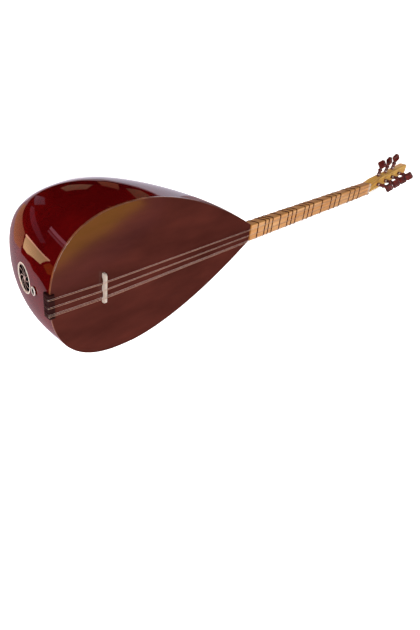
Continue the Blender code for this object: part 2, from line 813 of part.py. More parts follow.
def make_peghead():
    # The first section stands square to the neck, where the two are glued
    slope = math.tan(BEND)
    rings = [[peghead_point(-z * slope, y, z) for y, z in peghead_section(0)]]
    for along, share in [(PEGHEAD_BLEND, 1.0)] + dome_stops():
        middle = -peghead_size(along)[1] / 2
        rings.append(
            [
                peghead_point(along, y * share, middle + (z - middle) * share)
                for y, z in peghead_section(along)
            ]
        )
    peghead = add_part("peghead", loft("peghead", rings), "neck_wood")
    for name, place, through in peg_places():
        drill = cylinder(
            name + "_hole", SHANK_RADIUS + 2 * GAP, -2 * through, through, ROUND_SIDES
        )
        combine(peghead, add_cutter(name + "_hole", drill, place), "DIFFERENCE")
    middle = -peghead_size(PEGHEAD_LENGTH)[1] / 2
    end = frame_at(peghead_point(PEGHEAD_LENGTH, 0, middle), ALONG_PEGHEAD)
    bore = cylinder(
        "strap_hole", STRAP_HOLE_RADIUS, -STRAP_HOLE_DEPTH, STRAP_HOLE_DEPTH, ROUND_SIDES
    )
    combine(peghead, add_cutter("strap_hole", bore, end), "DIFFERENCE")


# Pegs and windings

def peg_places():
    """Each peg's name, its frame where it leaves the wood with Z outwards, and its way through.

    The frame's X is the way that the head is widest.
    """
    places = []
    for i, turn in enumerate(FRONT_PEG_TURNS):
        along = FIRST_PEG_AT + i * PEG_PITCH
        axis = OUT_OF_PEGHEAD * math.cos(LEAN) + ALONG_PEGHEAD * math.sin(LEAN)
        through = peghead_size(along)[1] / math.cos(LEAN)
        place = frame_at(peghead_point(along, 0, 0), axis)
        turned_place = place @ Matrix.Rotation(math.radians(turn), 4, "Z")
        places.append(("front_peg_%d" % (i + 1), turned_place, through))
    for i, turn in enumerate(SIDE_PEG_TURNS):
        along = FIRST_PEG_AT + (i + 0.5) * PEG_PITCH
        wide, deep = peghead_size(along)
        side = wide / 2 - deep / 2 * math.tan(peghead_lean(along))
        axis = Vector((0, 1, 0)) * math.cos(LEAN) + ALONG_PEGHEAD * math.sin(LEAN)
        place = frame_at(peghead_point(along, side, -deep / 2), axis, OUT_OF_PEGHEAD)
        turned_place = place @ Matrix.Rotation(math.radians(turn), 4, "Z")
        places.append(("side_peg_%d" % (i + 1), turned_place, 2 * side / math.cos(LEAN)))
    return places


def make_peg(name, place, through):
    tip = GAP - through
    points = [
        (0, HEAD_CENTRE),
        (SHANK_RADIUS, HEAD_CENTRE - HEAD_THICKNESS / 2),
        (WAIST_RADIUS, WAIST_HEIGHT),
        (BEAD_RADIUS, BEAD_HEIGHT + BEAD_FLAT / 2),
        (BEAD_RADIUS, BEAD_HEIGHT - BEAD_FLAT / 2),
        (SHANK_RADIUS, BEAD_HEIGHT - BEAD_FOOT),
        (SHANK_RADIUS, 0),
        (SHANK_TIP_RADIUS, tip),
        (0, tip),
    ]
    peg = add_part(name, profile(name, points, False), "peg_wood", place)
    turned(peg, ROUND_SIDES)
    outline = []
    for i in range(HEAD_SIDES):
        angle = 2 * math.pi * i / HEAD_SIDES
        radius = HEAD_RADIUS * (1 + HEAD_LOBE * math.cos(4 * angle))
        outline.append((radius * HEAD_STRETCH * math.cos(angle), radius * math.sin(angle)))
    head = plate(name + "_head", outline, HEAD_THICKNESS - 2 * HEAD_CROWN)
    crown_head(head)
    stand = Matrix.Translation((0, 0, HEAD_CENTRE)) @ Matrix.Rotation(math.pi / 2, 4, "X")
    combine(peg, add_cutter(name + "_head", head, place @ stand), "UNION")


def crown_head(mesh):
    """Raise the middle of both flat faces, so that the head is cushioned."""
    bm = bmesh.new()
    bm.from_mesh(mesh)
    bmesh.ops.dissolve_limit(bm, angle_limit=0.01, verts=bm.verts, edges=bm.edges)
    faces = [f for f in bm.faces if abs(f.normal.z) > 0.9]
    bmesh.ops.inset_region(bm, faces=faces, thickness=HEAD_CROWN_WIDTH, depth=HEAD_CROWN)
    bm.to_mesh(mesh)
    bm.free()
    shade(mesh, 50)


def winding_inner():
    return SHANK_RADIUS + GAP


def winding_outer():
    return winding_inner() + WINDING_THICKNESS


def make_winding(name, place):
    low = WINDING_HEIGHT - WINDING_WIDTH / 2
    high = WINDING_HEIGHT + WINDING_WIDTH / 2
    points = [
        (winding_outer(), high),
        (winding_outer(), low),
        (winding_inner(), low),
        (winding_inner(), high),
    ]
    coil = add_part(name, profile(name, points, True), "steel", place)
    turned(coil, ROUND_SIDES)


# Nut, bridge and tail strip

def string_places():
    """(y at the bridge, y at the nut, radius) of each string, from the +Y side."""
    strings = []
    courses = ((1, 2), (0, 2), (-1, 3))
    for side, count in courses:
        for i in range(count):
            offset = (count - 1) / 2 - i
            at_bridge = side * COURSE_AT_BRIDGE + offset * STRING_STEP_AT_BRIDGE
            at_nut = side * COURSE_AT_NUT + offset * STRING_STEP_AT_NUT
            radius = WOUND_STRING_RADIUS if i == count - 1 else STRING_RADIUS
            strings.append((at_bridge, at_nut, radius))
    return strings


def slot_cutter(name, ys, length, low, high):
    """Thin bars along X, one for each string, as one cutter."""
    bm = bmesh.new()
    for y in ys:
        made = bmesh.ops.create_cube(bm, size=1.0)
        size = Matrix.Diagonal((length, SLOT_WIDTH, high - low, 1.0))
        place = Matrix.Translation((0, y, (low + high) / 2))
        bmesh.ops.transform(bm, matrix=place @ size, verts=made["verts"])
    mesh = bpy.data.meshes.new(name)
    bm.to_mesh(mesh)
    bm.free()
    return mesh


def make_nut():
    half = NECK_WIDTH_AT_NUT / 2 - NUT_END_INSET
    low = NECK_RISE - NUT_SEAT + GAP
    back = NUT_TOP - NUT_BACK_DROP
    rings = []
    for y in (-half, half):
        rings.append(
            [
                (NUT_AT, y, low),
                (NUT_AT, y, NUT_TOP),
                (NUT_AT + NUT_LIP, y, NUT_TOP),
                (NUT_AT + NUT_THICKNESS, y, back),
                (NUT_AT + NUT_THICKNESS, y, low),
            ]
        )
    nut = add_part("nut", loft("nut", rings), "bone")
    ys = [s[1] for s in string_places()]
    low = NUT_TOP - SLOT_DEPTH
    slots = slot_cutter("nut_slots", ys, 4 * NUT_THICKNESS, low, NUT_TOP + SLOT_ABOVE)
    combine(nut, add_cutter("nut_slots", slots, Matrix.Translation((NUT_AT, 0, 0))), "DIFFERENCE")


def make_bridge():
    half = BRIDGE_LENGTH / 2
    shoulder = half - BRIDGE_END_RUN
    # Outline across the instrument: a level top, sloping ends and two arches between feet
    outline = [(half, 0), (half, BRIDGE_END_HEIGHT), (shoulder, BRIDGE_HEIGHT)]
    outline += [(-shoulder, BRIDGE_HEIGHT), (-half, BRIDGE_END_HEIGHT), (-half, 0)]
    inner = BRIDGE_FOOT / 2
    for start, end in ((BRIDGE_FOOT - half, -inner), (inner, half - BRIDGE_FOOT)):
        for i in range(ARCH_STEPS + 1):
            share = i / ARCH_STEPS
            rise = math.sin(math.pi * share) ** 0.5 if 0 < i < ARCH_STEPS else 0.0
            outline.append((blend(start, end, share), BRIDGE_ARCH_HEIGHT * rise))
    mesh = plate("bridge", outline, BRIDGE_THICKNESS)
    top_share = BRIDGE_TOP_THICKNESS / BRIDGE_THICKNESS
    for vert in mesh.vertices:
        y, z, x = vert.co
        vert.co = (x * blend(1.0, top_share, z / BRIDGE_HEIGHT), y, z)
    bridge = add_part("bridge", mesh, "bone", Matrix.Translation((BRIDGE_FROM_TAIL, 0, GAP)))
    ys = [s[0] for s in string_places()]
    top = BRIDGE_HEIGHT + GAP
    low = top - SLOT_DEPTH
    slots = slot_cutter("bridge_slots", ys, 4 * BRIDGE_THICKNESS, low, top + SLOT_ABOVE)
    place = Matrix.Translation((BRIDGE_FROM_TAIL, 0, 0))
    combine(bridge, add_cutter("bridge_slots", slots, place), "DIFFERENCE")


def make_tail_strip():
    half = TAIL_STRIP_WIDTH / 2
    out = -TAIL_STRIP_PROUD
    front = TAIL_STRIP_LENGTH - TAIL_STRIP_PROUD
    ease = TAIL_STRIP_EASE
    rings = []
    for y in (-half, half):
        rings.append(
            [
                (out, y, TAIL_STRIP_RISE - ease),
                (out + ease, y, TAIL_STRIP_RISE),
                (front - ease, y, TAIL_STRIP_RISE),
                (front, y, TAIL_STRIP_RISE - 2 * ease),
                (front, y, GAP - RIM),
                (TAIL_STRIP_LIP, y, GAP - RIM),
                (TAIL_STRIP_LIP, y, -TAIL_STRIP_DROP),
                (out + ease, y, -TAIL_STRIP_DROP),
                (out, y, ease - TAIL_STRIP_DROP),
            ]
        )
    strip = add_part("tail_strip", loft("tail_strip", rings), "ebony")
    ys = [s[0] for s in string_places()]
    low = TAIL_STRIP_RISE - TAIL_SLOT_DEPTH
    high = TAIL_STRIP_RISE + SLOT_ABOVE
    slots = slot_cutter("tail_slots", ys, 4 * TAIL_STRIP_LENGTH, low, high)
    combine(strip, add_cutter("tail_slots", slots), "DIFFERENCE")


# Frets and strings

def make_frets():
    for number, semitone in enumerate(FRET_SEMITONES, 1):
        x = NUT_AT - SCALE_LENGTH * (1 - 2 ** (-semitone / 12))
        name = "fret_%02d" % number
        bm = bmesh.new()
        loops = []
        outer = GAP + FRET_THICKNESS
        for side, grow in ((-1, GAP), (1, GAP), (1, outer), (-1, outer)):
            at = x + side * FRET_WIDTH / 2
            loops.append([bm.verts.new((at, y, z)) for _, y, z in neck_ring(x, grow)])
        count = len(loops[0])
        for a, b in zip(loops, loops[1:] + loops[:1]):
            for i in range(count):
                j = (i + 1) % count
                bm.faces.new((a[i], b[i], b[j], a[j]))
        bmesh.ops.recalc_face_normals(bm, faces=bm.faces)
        mesh = bpy.data.meshes.new(name)
        bm.to_mesh(mesh)
        bm.free()
        shade(mesh)
        add_part(name, mesh, "fret_line")


def peg_meeting(place, radius, side, up):
    """Where a string meets the winding: beside it, on the side given, at its own height."""
    clear = winding_outer() + GAP + radius
    axis = place.to_3x3() @ Vector((0, 0, 1))
    beside = side - axis * side.dot(axis)
    return place.translation + axis * up + beside.normalized() * clear


def make_strings():
    """Tail strip, bridge, nut, then on to a peg: the three on the +Y side go to side pegs."""
    pegs = {name: place for name, place, _ in peg_places()}
    y_side = Vector((0, 1, 0))
    order = [
        ("side_peg_1", OUT_OF_PEGHEAD),
        ("side_peg_2", OUT_OF_PEGHEAD),
        ("side_peg_3", OUT_OF_PEGHEAD),
        ("front_peg_1", y_side),
        ("front_peg_2", -y_side),
        ("front_peg_3", -y_side),
        ("front_peg_4", -y_side),
    ]
    for number, ((at_bridge, at_nut, radius), (peg, side)) in enumerate(
        zip(string_places(), order), 1
    ):
        outside = -TAIL_STRIP_PROUD - 2 * GAP - radius
        points = [
            (outside, at_bridge, -STRING_TAIL_DROP),
            (outside, at_bridge, STRING_AT_TAIL - 2 * GAP),
            (outside + 3 * GAP, at_bridge, STRING_AT_TAIL + GAP),
            (BRIDGE_FROM_TAIL, at_bridge, STRING_AT_BRIDGE),
            (NUT_AT + NUT_LIP, at_nut, STRING_AT_NUT),
        ]
        if peg == "side_peg_3":
            # This one runs along the face, past the front pegs, before it goes over the edge
            along = FIRST_PEG_AT + 1.5 * PEG_PITCH
            edge = peghead_size(along)[0] / 2
            points.append(tuple(peghead_point(along, edge, 3 * GAP + radius)))
        points.append(tuple(peg_meeting(pegs[peg], radius, side, WINDING_HEIGHT)))
        name = "string_%d" % number
        add_part(name, tube(name, points, radius), "steel")


# Rest: the instrument lies on its back on the bowl and on the end of the peghead

def lowest_of_bowl(tilt):
    steps = 200
    drops = []
    for i in range(steps + 1):
        x = BOWL_LENGTH * i / steps
        drops.append(depth(x) * math.cos(tilt) + x * math.sin(tilt))
    return max(drops)


def lowest_of_peghead(tilt):
    drops = []
    for along, share in dome_stops():
        half = peghead_size(along)[1] / 2
        point = peghead_point(along, 0, -half - half * share)
        drops.append(point.x * math.sin(tilt) - point.z * math.cos(tilt))
    return max(drops)


def rest_tilt():
    low, high = 0.0, math.radians(30)
    for _ in range(40):
        middle = (low + high) / 2
        if lowest_of_peghead(middle) < lowest_of_bowl(middle):
            low = middle
        else:
            high = middle
    return low


REST_TILT = rest_tilt()
REST_HEIGHT = lowest_of_bowl(REST_TILT)
# The jack's nut stands off the wall by this much, because the wall leans a little to the bore
JACK_SEAT = GAP + JACK_NUT_RADIUS * math.sin(REST_TILT) / 2


def lay_down():
    """Tilt the instrument, stand it on z = 0 and centre its length on the origin."""
    tail = min(
        x * math.cos(REST_TILT) - depth(x) * math.sin(REST_TILT) for x in stations(12, 12)
    )
    end = peghead_point(PEGHEAD_LENGTH, 0, -peghead_size(PEGHEAD_LENGTH)[1] / 2)
    head = end.x * math.cos(REST_TILT) + end.z * math.sin(REST_TILT)
    rest.rotation_euler = (0, REST_TILT, 0)
    rest.location = (-(tail + head) / 2, 0, REST_HEIGHT)


make_bowl()
make_soundboard()
make_brace("soundboard_brace_1", FIRST_BRACE_AT)
make_brace("soundboard_brace_2", SECOND_BRACE_AT)
make_pickup()
make_lead()
make_jack()
make_hole_trim()
make_neck()
make_peghead()
make_nut()
make_bridge()
make_tail_strip()
make_frets()
make_strings()
for peg_name, peg_place, way_through in peg_places():
    make_peg(peg_name, peg_place, way_through)
    make_winding(peg_name.replace("peg", "winding"), peg_place)
lay_down()
bpy.context.view_layer.update()
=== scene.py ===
import json
import math

import bpy
from mathutils import Matrix, Vector


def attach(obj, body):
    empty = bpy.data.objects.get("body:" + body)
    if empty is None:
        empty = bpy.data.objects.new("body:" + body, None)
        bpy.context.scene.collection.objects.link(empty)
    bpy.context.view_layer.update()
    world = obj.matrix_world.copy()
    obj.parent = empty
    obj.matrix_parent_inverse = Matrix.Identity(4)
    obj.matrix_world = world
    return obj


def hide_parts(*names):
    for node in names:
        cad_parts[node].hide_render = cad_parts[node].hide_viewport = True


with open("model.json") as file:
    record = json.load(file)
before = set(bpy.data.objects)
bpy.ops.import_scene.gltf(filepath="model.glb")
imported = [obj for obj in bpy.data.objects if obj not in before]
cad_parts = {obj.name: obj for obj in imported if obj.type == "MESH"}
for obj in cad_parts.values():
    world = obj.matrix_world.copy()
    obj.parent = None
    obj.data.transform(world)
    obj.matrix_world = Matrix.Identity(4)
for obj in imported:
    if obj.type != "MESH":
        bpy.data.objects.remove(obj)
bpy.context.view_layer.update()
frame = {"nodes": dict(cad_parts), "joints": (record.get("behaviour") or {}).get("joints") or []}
nodes = frame["nodes"]
print("frame loaded:", len(nodes), "nodes")


# Where the instrument lies, worked out from the row of front pegs

neckPlan = {
    "bodyEnd": 0.41, "start": 0.4103, "nutAt": 0.8097, "end": 0.814,
    "rise": 0.002,  # the neck's face stands this much above the soundboard
    "widthAtBody": 0.033, "widthAtNut": 0.0275, "depthAtBody": 0.027, "depthAtNut": 0.022,
    "sideLean": math.radians(13), "edgeRadius": 0.0022, "backRadius": 0.0088,
    "edgeSteps": 5, "backSteps": 10, "nutSeat": 0.002, "smoothUnder": 30,
    "faceUp": 0.9,  # faces more level than this are the playing face
}
headPlan = {
    "start": 0.8143, "bend": math.radians(6.5), "length": 0.222,
    "dome": 0.013,  # how much of the length the rounded tip takes
    "endShare": 0.42,  # how much of the section is left at the rounded tip
    "width": 0.0255, "endWidth": 0.022, "depth": 0.022, "endDepth": 0.01943,
    "sideLean": math.radians(4), "edgeRadius": 0.003, "backRadius": 0.0055,
    "blendOver": 0.036,  # from the neck's section to the squarer one
    "blendSteps": 6, "domeSteps": 9, "smoothUnder": 30,
    "firstPeg": 0.046, "strapBore": 0.0015, "strapDepth": 0.012, "strapSides": 24,
}
alongHead = Vector((math.cos(headPlan["bend"]), 0, -math.sin(headPlan["bend"])))
outOfHead = Vector((math.sin(headPlan["bend"]), 0, math.cos(headPlan["bend"])))
joints = {joint["child"]: joint for joint in frame["joints"]}


def headPoint(along, across, out):
    start = Vector((headPlan["start"], 0, 0))
    return start + alongHead * along + outOfHead * out + Vector((0, across, 0))


def findRest():
    first = Vector(joints["front_peg_1"]["pos_m"])
    last = Vector(joints["front_peg_4"]["pos_m"])
    run = last - first
    tilt = math.atan2(-run.z, run.x) - headPlan["bend"]
    turn = Matrix.Rotation(tilt, 4, "Y")
    place = first - turn @ headPoint(headPlan["firstPeg"], 0, 0)
    return tilt, Matrix.Translation(place) @ turn


restTilt, restPlace = findRest()


# Modelling helpers

def selectOnly(piece):
    bpy.ops.object.select_all(action="DESELECT")
    bpy.context.view_layer.objects.active = piece
    piece.select_set(True)


def newest(name):
    piece = bpy.context.object
    piece.name = name
    piece.data.name = name
    return piece


def enterEdit(piece, what, action="SELECT"):
    # One piece alone in edit mode, with all or none of its corners, edges or faces selected
    selectOnly(piece)
    bpy.ops.object.mode_set(mode="EDIT")
    bpy.ops.mesh.select_mode(type=what)
    bpy.ops.mesh.select_all(action=action)


def leaveEdit():
    bpy.ops.object.mode_set(mode="OBJECT")


def pick(piece, what, test):
    # Leaves a piece in edit mode, with those of its edges or faces selected that pass the test
    enterEdit(piece, what, "DESELECT")
    leaveEdit()
    for part in piece.data.edges if what == "EDGE" else piece.data.polygons:
        part.select = test(part)
    bpy.ops.object.mode_set(mode="EDIT")


def mergeAndFaceOut(piece, distance=0.00001):
    enterEdit(piece, "VERT")
    bpy.ops.mesh.remove_doubles(threshold=distance)
    bpy.ops.mesh.normals_make_consistent(inside=False)
    leaveEdit()


def applyModifiers(piece):
    selectOnly(piece)
    for modifier in list(piece.modifiers):
        bpy.ops.object.modifier_apply(modifier=modifier.name)


def boolean(piece, cutter, operation="DIFFERENCE"):
    modifier = piece.modifiers.new("cut", "BOOLEAN")
    modifier.operation = operation
    modifier.object = cutter
    applyModifiers(piece)
    bpy.data.objects.remove(cutter, do_unlink=True)


def smooth(piece, degrees, keepFlats=True):
    # Shades edges blunter than the angle as round. Wide faces keep their own normals where
    # asked, so that gloss on them isn't bent by the rounded edges
    selectOnly(piece)
    bpy.ops.object.shade_smooth_by_angle(angle=math.radians(degrees))
    if keepFlats:
        weigh = piece.modifiers.new("flats", "WEIGHTED_NORMAL")
        weigh.weight = 100
        weigh.keep_sharp = True
        applyModifiers(piece)


easePlan = {"segments": 2, "smoothUnder": 40}


def easeEdges(piece, width, degrees):
    # Rounds the edges that are sharper than the angle
    eased = piece.modifiers.new("easedEdges", "BEVEL")
    eased.width = width
    eased.segments = easePlan["segments"]
    eased.limit_method = "ANGLE"
    eased.angle_limit = math.radians(degrees)
    applyModifiers(piece)
    smooth(piece, easePlan["smoothUnder"])


def addBox(name, low, high):
    low, high = Vector(low), Vector(high)
    bpy.ops.mesh.primitive_cube_add(size=1, location=(low + high) / 2)
    box = newest(name)
    box.scale = high - low
    bpy.ops.object.transform_apply()
    return box


def addCylinder(name, radius, low, high, place, sides):
    bpy.ops.mesh.primitive_cylinder_add(vertices=sides, radius=radius, depth=high - low)
    piece = newest(name)
    piece.data.transform(place @ Matrix.Translation((0, 0, (low + high) / 2)))
    return piece


def addFace(name, points):
    bpy.ops.mesh.primitive_circle_add(vertices=len(points), radius=1, fill_type="NGON")
    piece = newest(name)
    for vert, point in zip(piece.data.vertices, points):
        vert.co = point
    return piece


def extrudeUp(height):
    bpy.ops.mesh.extrude_region_move(TRANSFORM_OT_translate={"value": (0, 0, height)})


def extrudeScaled(height, radius, stations):
    # Extrudes what is selected up to each height in turn, scaled to the radius there
    for nextHeight, nextRadius in stations:
        extrudeUp(nextHeight - height)
        scale = nextRadius / radius
        bpy.ops.transform.resize(value=(scale, scale, 1), center_override=(0, 0, nextHeight))
        height, radius = nextHeight, nextRadius


def addPlate(name, points, height):
    piece = addFace(name, points)
    enterEdit(piece, "FACE")
    extrudeUp(height)
    leaveEdit()
    mergeAndFaceOut(piece)
    return piece


def layDown(piece):
    piece.data.transform(restPlace)
    piece.data.update()
    return piece


def frameAt(origin, up, ahead):
    # A matrix with its z along up, its y close to ahead and its origin as given
    z = up.normalized()
    x = ahead.cross(z).normalized()
    y = z.cross(x)
    return Matrix.Translation(origin) @ Matrix((x, y, z)).transposed().to_4x4()


def blend(a, b, share):
    return a + (b - a) * share


def polar(radius, angle):
    return radius * math.cos(angle), radius * math.sin(angle)


def wear(piece, *names):
    # Puts the named finishes on a piece, the first of them on all of its faces
    piece.data.materials.clear()
    for name in names:
        piece.data.materials.append(finishes[name])


def wearTwo(piece, first, second, isFirst):
    # One finish on the faces that pass the test, and another on the rest
    wear(piece, first, second)
    for face in piece.data.polygons:
        face.material_index = 0 if isFirst(face) else 1


def dress(piece, body, slot, *replaced):
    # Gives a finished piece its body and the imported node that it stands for
    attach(piece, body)
    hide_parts(*replaced)


# Materials. A stretch of 300 marks a metre gives marks about 3 mm wide.

srgbCurve = {"straightTo": 0.04045, "slope": 12.92, "offset": 0.055, "power": 2.4}


def linear(hexColour):
    # An sRGB hex colour as the linear values that a shader takes
    curve, offset = srgbCurve, srgbCurve["offset"]
    values = [int(hexColour[i:i + 2], 16) / 255 for i in (1, 3, 5)]
    return [v / curve["slope"] if v <= curve["straightTo"]
            else ((v + offset) / (1 + offset)) ** curve["power"] for v in values] + [1.0]


def setInputs(tree, node, inputs):
    # Sets the sockets that are given a value, and links those that are given an output
    for name, value in inputs.items():
        if isinstance(value, bpy.types.NodeSocket):
            tree.links.new(value, node.inputs[name])
        else:
            node.inputs[name].default_value = value


def setStops(ramp, stops):
    # A new ramp has two stops, which become the first and the last
    for element, (place, colour) in zip(ramp.elements, (stops[0], stops[-1])):
        element.position = place
        element.color = linear(colour)
    for place, colour in stops[1:-1]:
        ramp.elements.new(place).color = linear(colour)


def addNode(tree, kind, settings=None, inputs=None, stops=None):
    # Adds one node with its properties, its sockets and, for a ramp, its colour stops
    node = tree.nodes.new(kind)
    for name, value in (settings or {}).items():
        setattr(node, name, value)
    setInputs(tree, node, inputs or {})
    if stops:
        setStops(node.color_ramp, stops)
    return node


def startMaterial(name):
    material = bpy.data.materials.new(name)
    material.use_nodes = True
    tree = material.node_tree
    return material, tree, tree.nodes["Principled BSDF"]


def objectCoords(tree, stretch):
    coords = addNode(tree, "ShaderNodeTexCoord").outputs["Object"]
    return addNode(tree, "ShaderNodeMapping", inputs={
        "Vector": coords, "Scale": stretch}).outputs["Vector"]


def instrumentCoords(tree, stretch, extraTurn=0.0):
    # Object coordinates turned back into the instrument's frame, then stretched
    turned = addNode(tree, "ShaderNodeMapping", inputs={
        "Vector": addNode(tree, "ShaderNodeTexCoord").outputs["Object"],
        "Location": restPlace.inverted().translation,
        "Rotation": (0, -restTilt - extraTurn, 0)})
    return addNode(tree, "ShaderNodeMapping", inputs={
        "Vector": turned.outputs["Vector"], "Scale": stretch}).outputs["Vector"]


def patterned(name, coords, stretch, marks, tones, surface, relief=None, clouds=None, wave=None):
    # A material whose colour, and relief where it has one, follow a noise or a wave. Wide soft
    # clouds can be mixed into the colour, of which the pattern then keeps its share
    material, tree, shader = startMaterial(name)
    kind = "ShaderNodeTexWave" if wave else "ShaderNodeTexNoise"
    pattern = addNode(tree, kind, wave, {
        "Vector": coords(tree, stretch), "Scale": 1.0, **marks}).outputs["Fac"]
    factor = pattern
    if clouds:
        soft = addNode(tree, "ShaderNodeTexNoise", inputs={
            "Vector": coords(tree, clouds["stretch"]), "Scale": 1.0, "Detail": clouds["detail"]})
        factor = addNode(tree, "ShaderNodeMix", {"data_type": "FLOAT"}, {
            "Factor": clouds["share"], "A": soft.outputs["Fac"], "B": pattern}).outputs["Result"]
    ramp = addNode(tree, "ShaderNodeValToRGB", inputs={"Fac": factor}, stops=tones)
    setInputs(tree, shader, {"Base Color": ramp.outputs["Color"], **surface})
    if relief:
        bump = addNode(tree, "ShaderNodeBump", inputs={"Height": pattern, **relief})
        setInputs(tree, shader, {"Normal": bump.outputs["Normal"]})
    return material


def lacqueredBowlWood():
    # Stained mulberry, carved and sanded, under a thick polished polyester lacquer:
    # deep wine red with hardly any grain, and a mirror coat over it
    material = patterned(
        "wineRedLacquerOnCarvedWood", instrumentCoords, (9, 60, 60),
        {"Detail": 5.0, "Roughness": 0.6, "Distortion": 0.4},
        [(0.3, "#3a0204"), (0.5, "#500405"), (0.72, "#6a0906")],
        {"Roughness": 0.6, "Specular IOR Level": 0.0, "Coat Weight": 1.0,
         "Coat Roughness": 0.035, "Coat IOR": 1.5},
        clouds={"stretch": (6, 6, 6), "detail": 2.0, "share": 0.35})
    # Long slow waves that polishing leaves, a few hundredths of a millimetre
    tree = material.node_tree
    waves = addNode(tree, "ShaderNodeTexNoise", inputs={
        "Vector": instrumentCoords(tree, (22, 30, 30)), "Scale": 1.0, "Detail": 1.0})
    bump = addNode(tree, "ShaderNodeBump", inputs={
        "Height": waves.outputs["Fac"], "Strength": 0.05, "Distance": 0.001})
    setInputs(tree, tree.nodes["Principled BSDF"], {"Coat Normal": bump.outputs["Normal"]})
    return material


def neckWood(name, extraTurn, *colours):
    # Hornbeam, planed and oiled, then satin lacquer: honey with long grain streaks 2 mm apart
    return patterned(
        name, lambda tree, stretch: instrumentCoords(tree, stretch, extraTurn), (7, 420, 300),
        {"Detail": 6.0, "Roughness": 0.62, "Distortion": 0.25},
        list(zip((0.3, 0.48, 0.62, 0.78), colours)),
        {"Roughness": 0.42, "Coat Weight": 0.5, "Coat Roughness": 0.18},
        relief={"Strength": 0.12, "Distance": 0.0003},
        clouds={"stretch": (12, 60, 60), "detail": 3.0, "share": 0.55})


def filedBone(name, light, dark):
    # Bone, sawn and filed smooth: off-white, slightly waxy, with darker pores, which are
    # drawn over 1 mm wide so that they show
    return patterned(
        name, objectCoords, (700, 700, 700), {"Detail": 4.0, "Roughness": 0.7},
        [(0.3, dark), (0.55, light)],
        {"Roughness": 0.4, "Subsurface Weight": 0.08, "Subsurface Scale": 0.001},
        {"Strength": 0.1, "Distance": 0.0001})


def grainedWood(name, stretch, dark, light, roughness, coat, gloss=0.5):
    # A plain wood, with grain along the instrument where it is stretched less that way
    return patterned(
        name, instrumentCoords, stretch, {"Detail": 5.0, "Roughness": 0.6},
        [(0.3, dark), (0.7, light)],
        {"Roughness": roughness, "Specular IOR Level": gloss, "Coat Weight": coat,
         "Coat Roughness": 0.15},
        {"Strength": 0.15, "Distance": 0.0003})


def drawnMetal(name, light, dark, roughness, marks, metallic=1.0):
    # A metal drawn or turned to shape: even colour, with darker draw marks that are drawn
    # coarser than real ones so that they show. Satin plate scatters much of the light, so it
    # takes less than the full metallic value
    return patterned(
        name, objectCoords, (marks, marks, marks), {"Detail": 3.0},
        [(0.35, dark), (0.6, light)], {"Metallic": metallic, "Roughness": roughness})


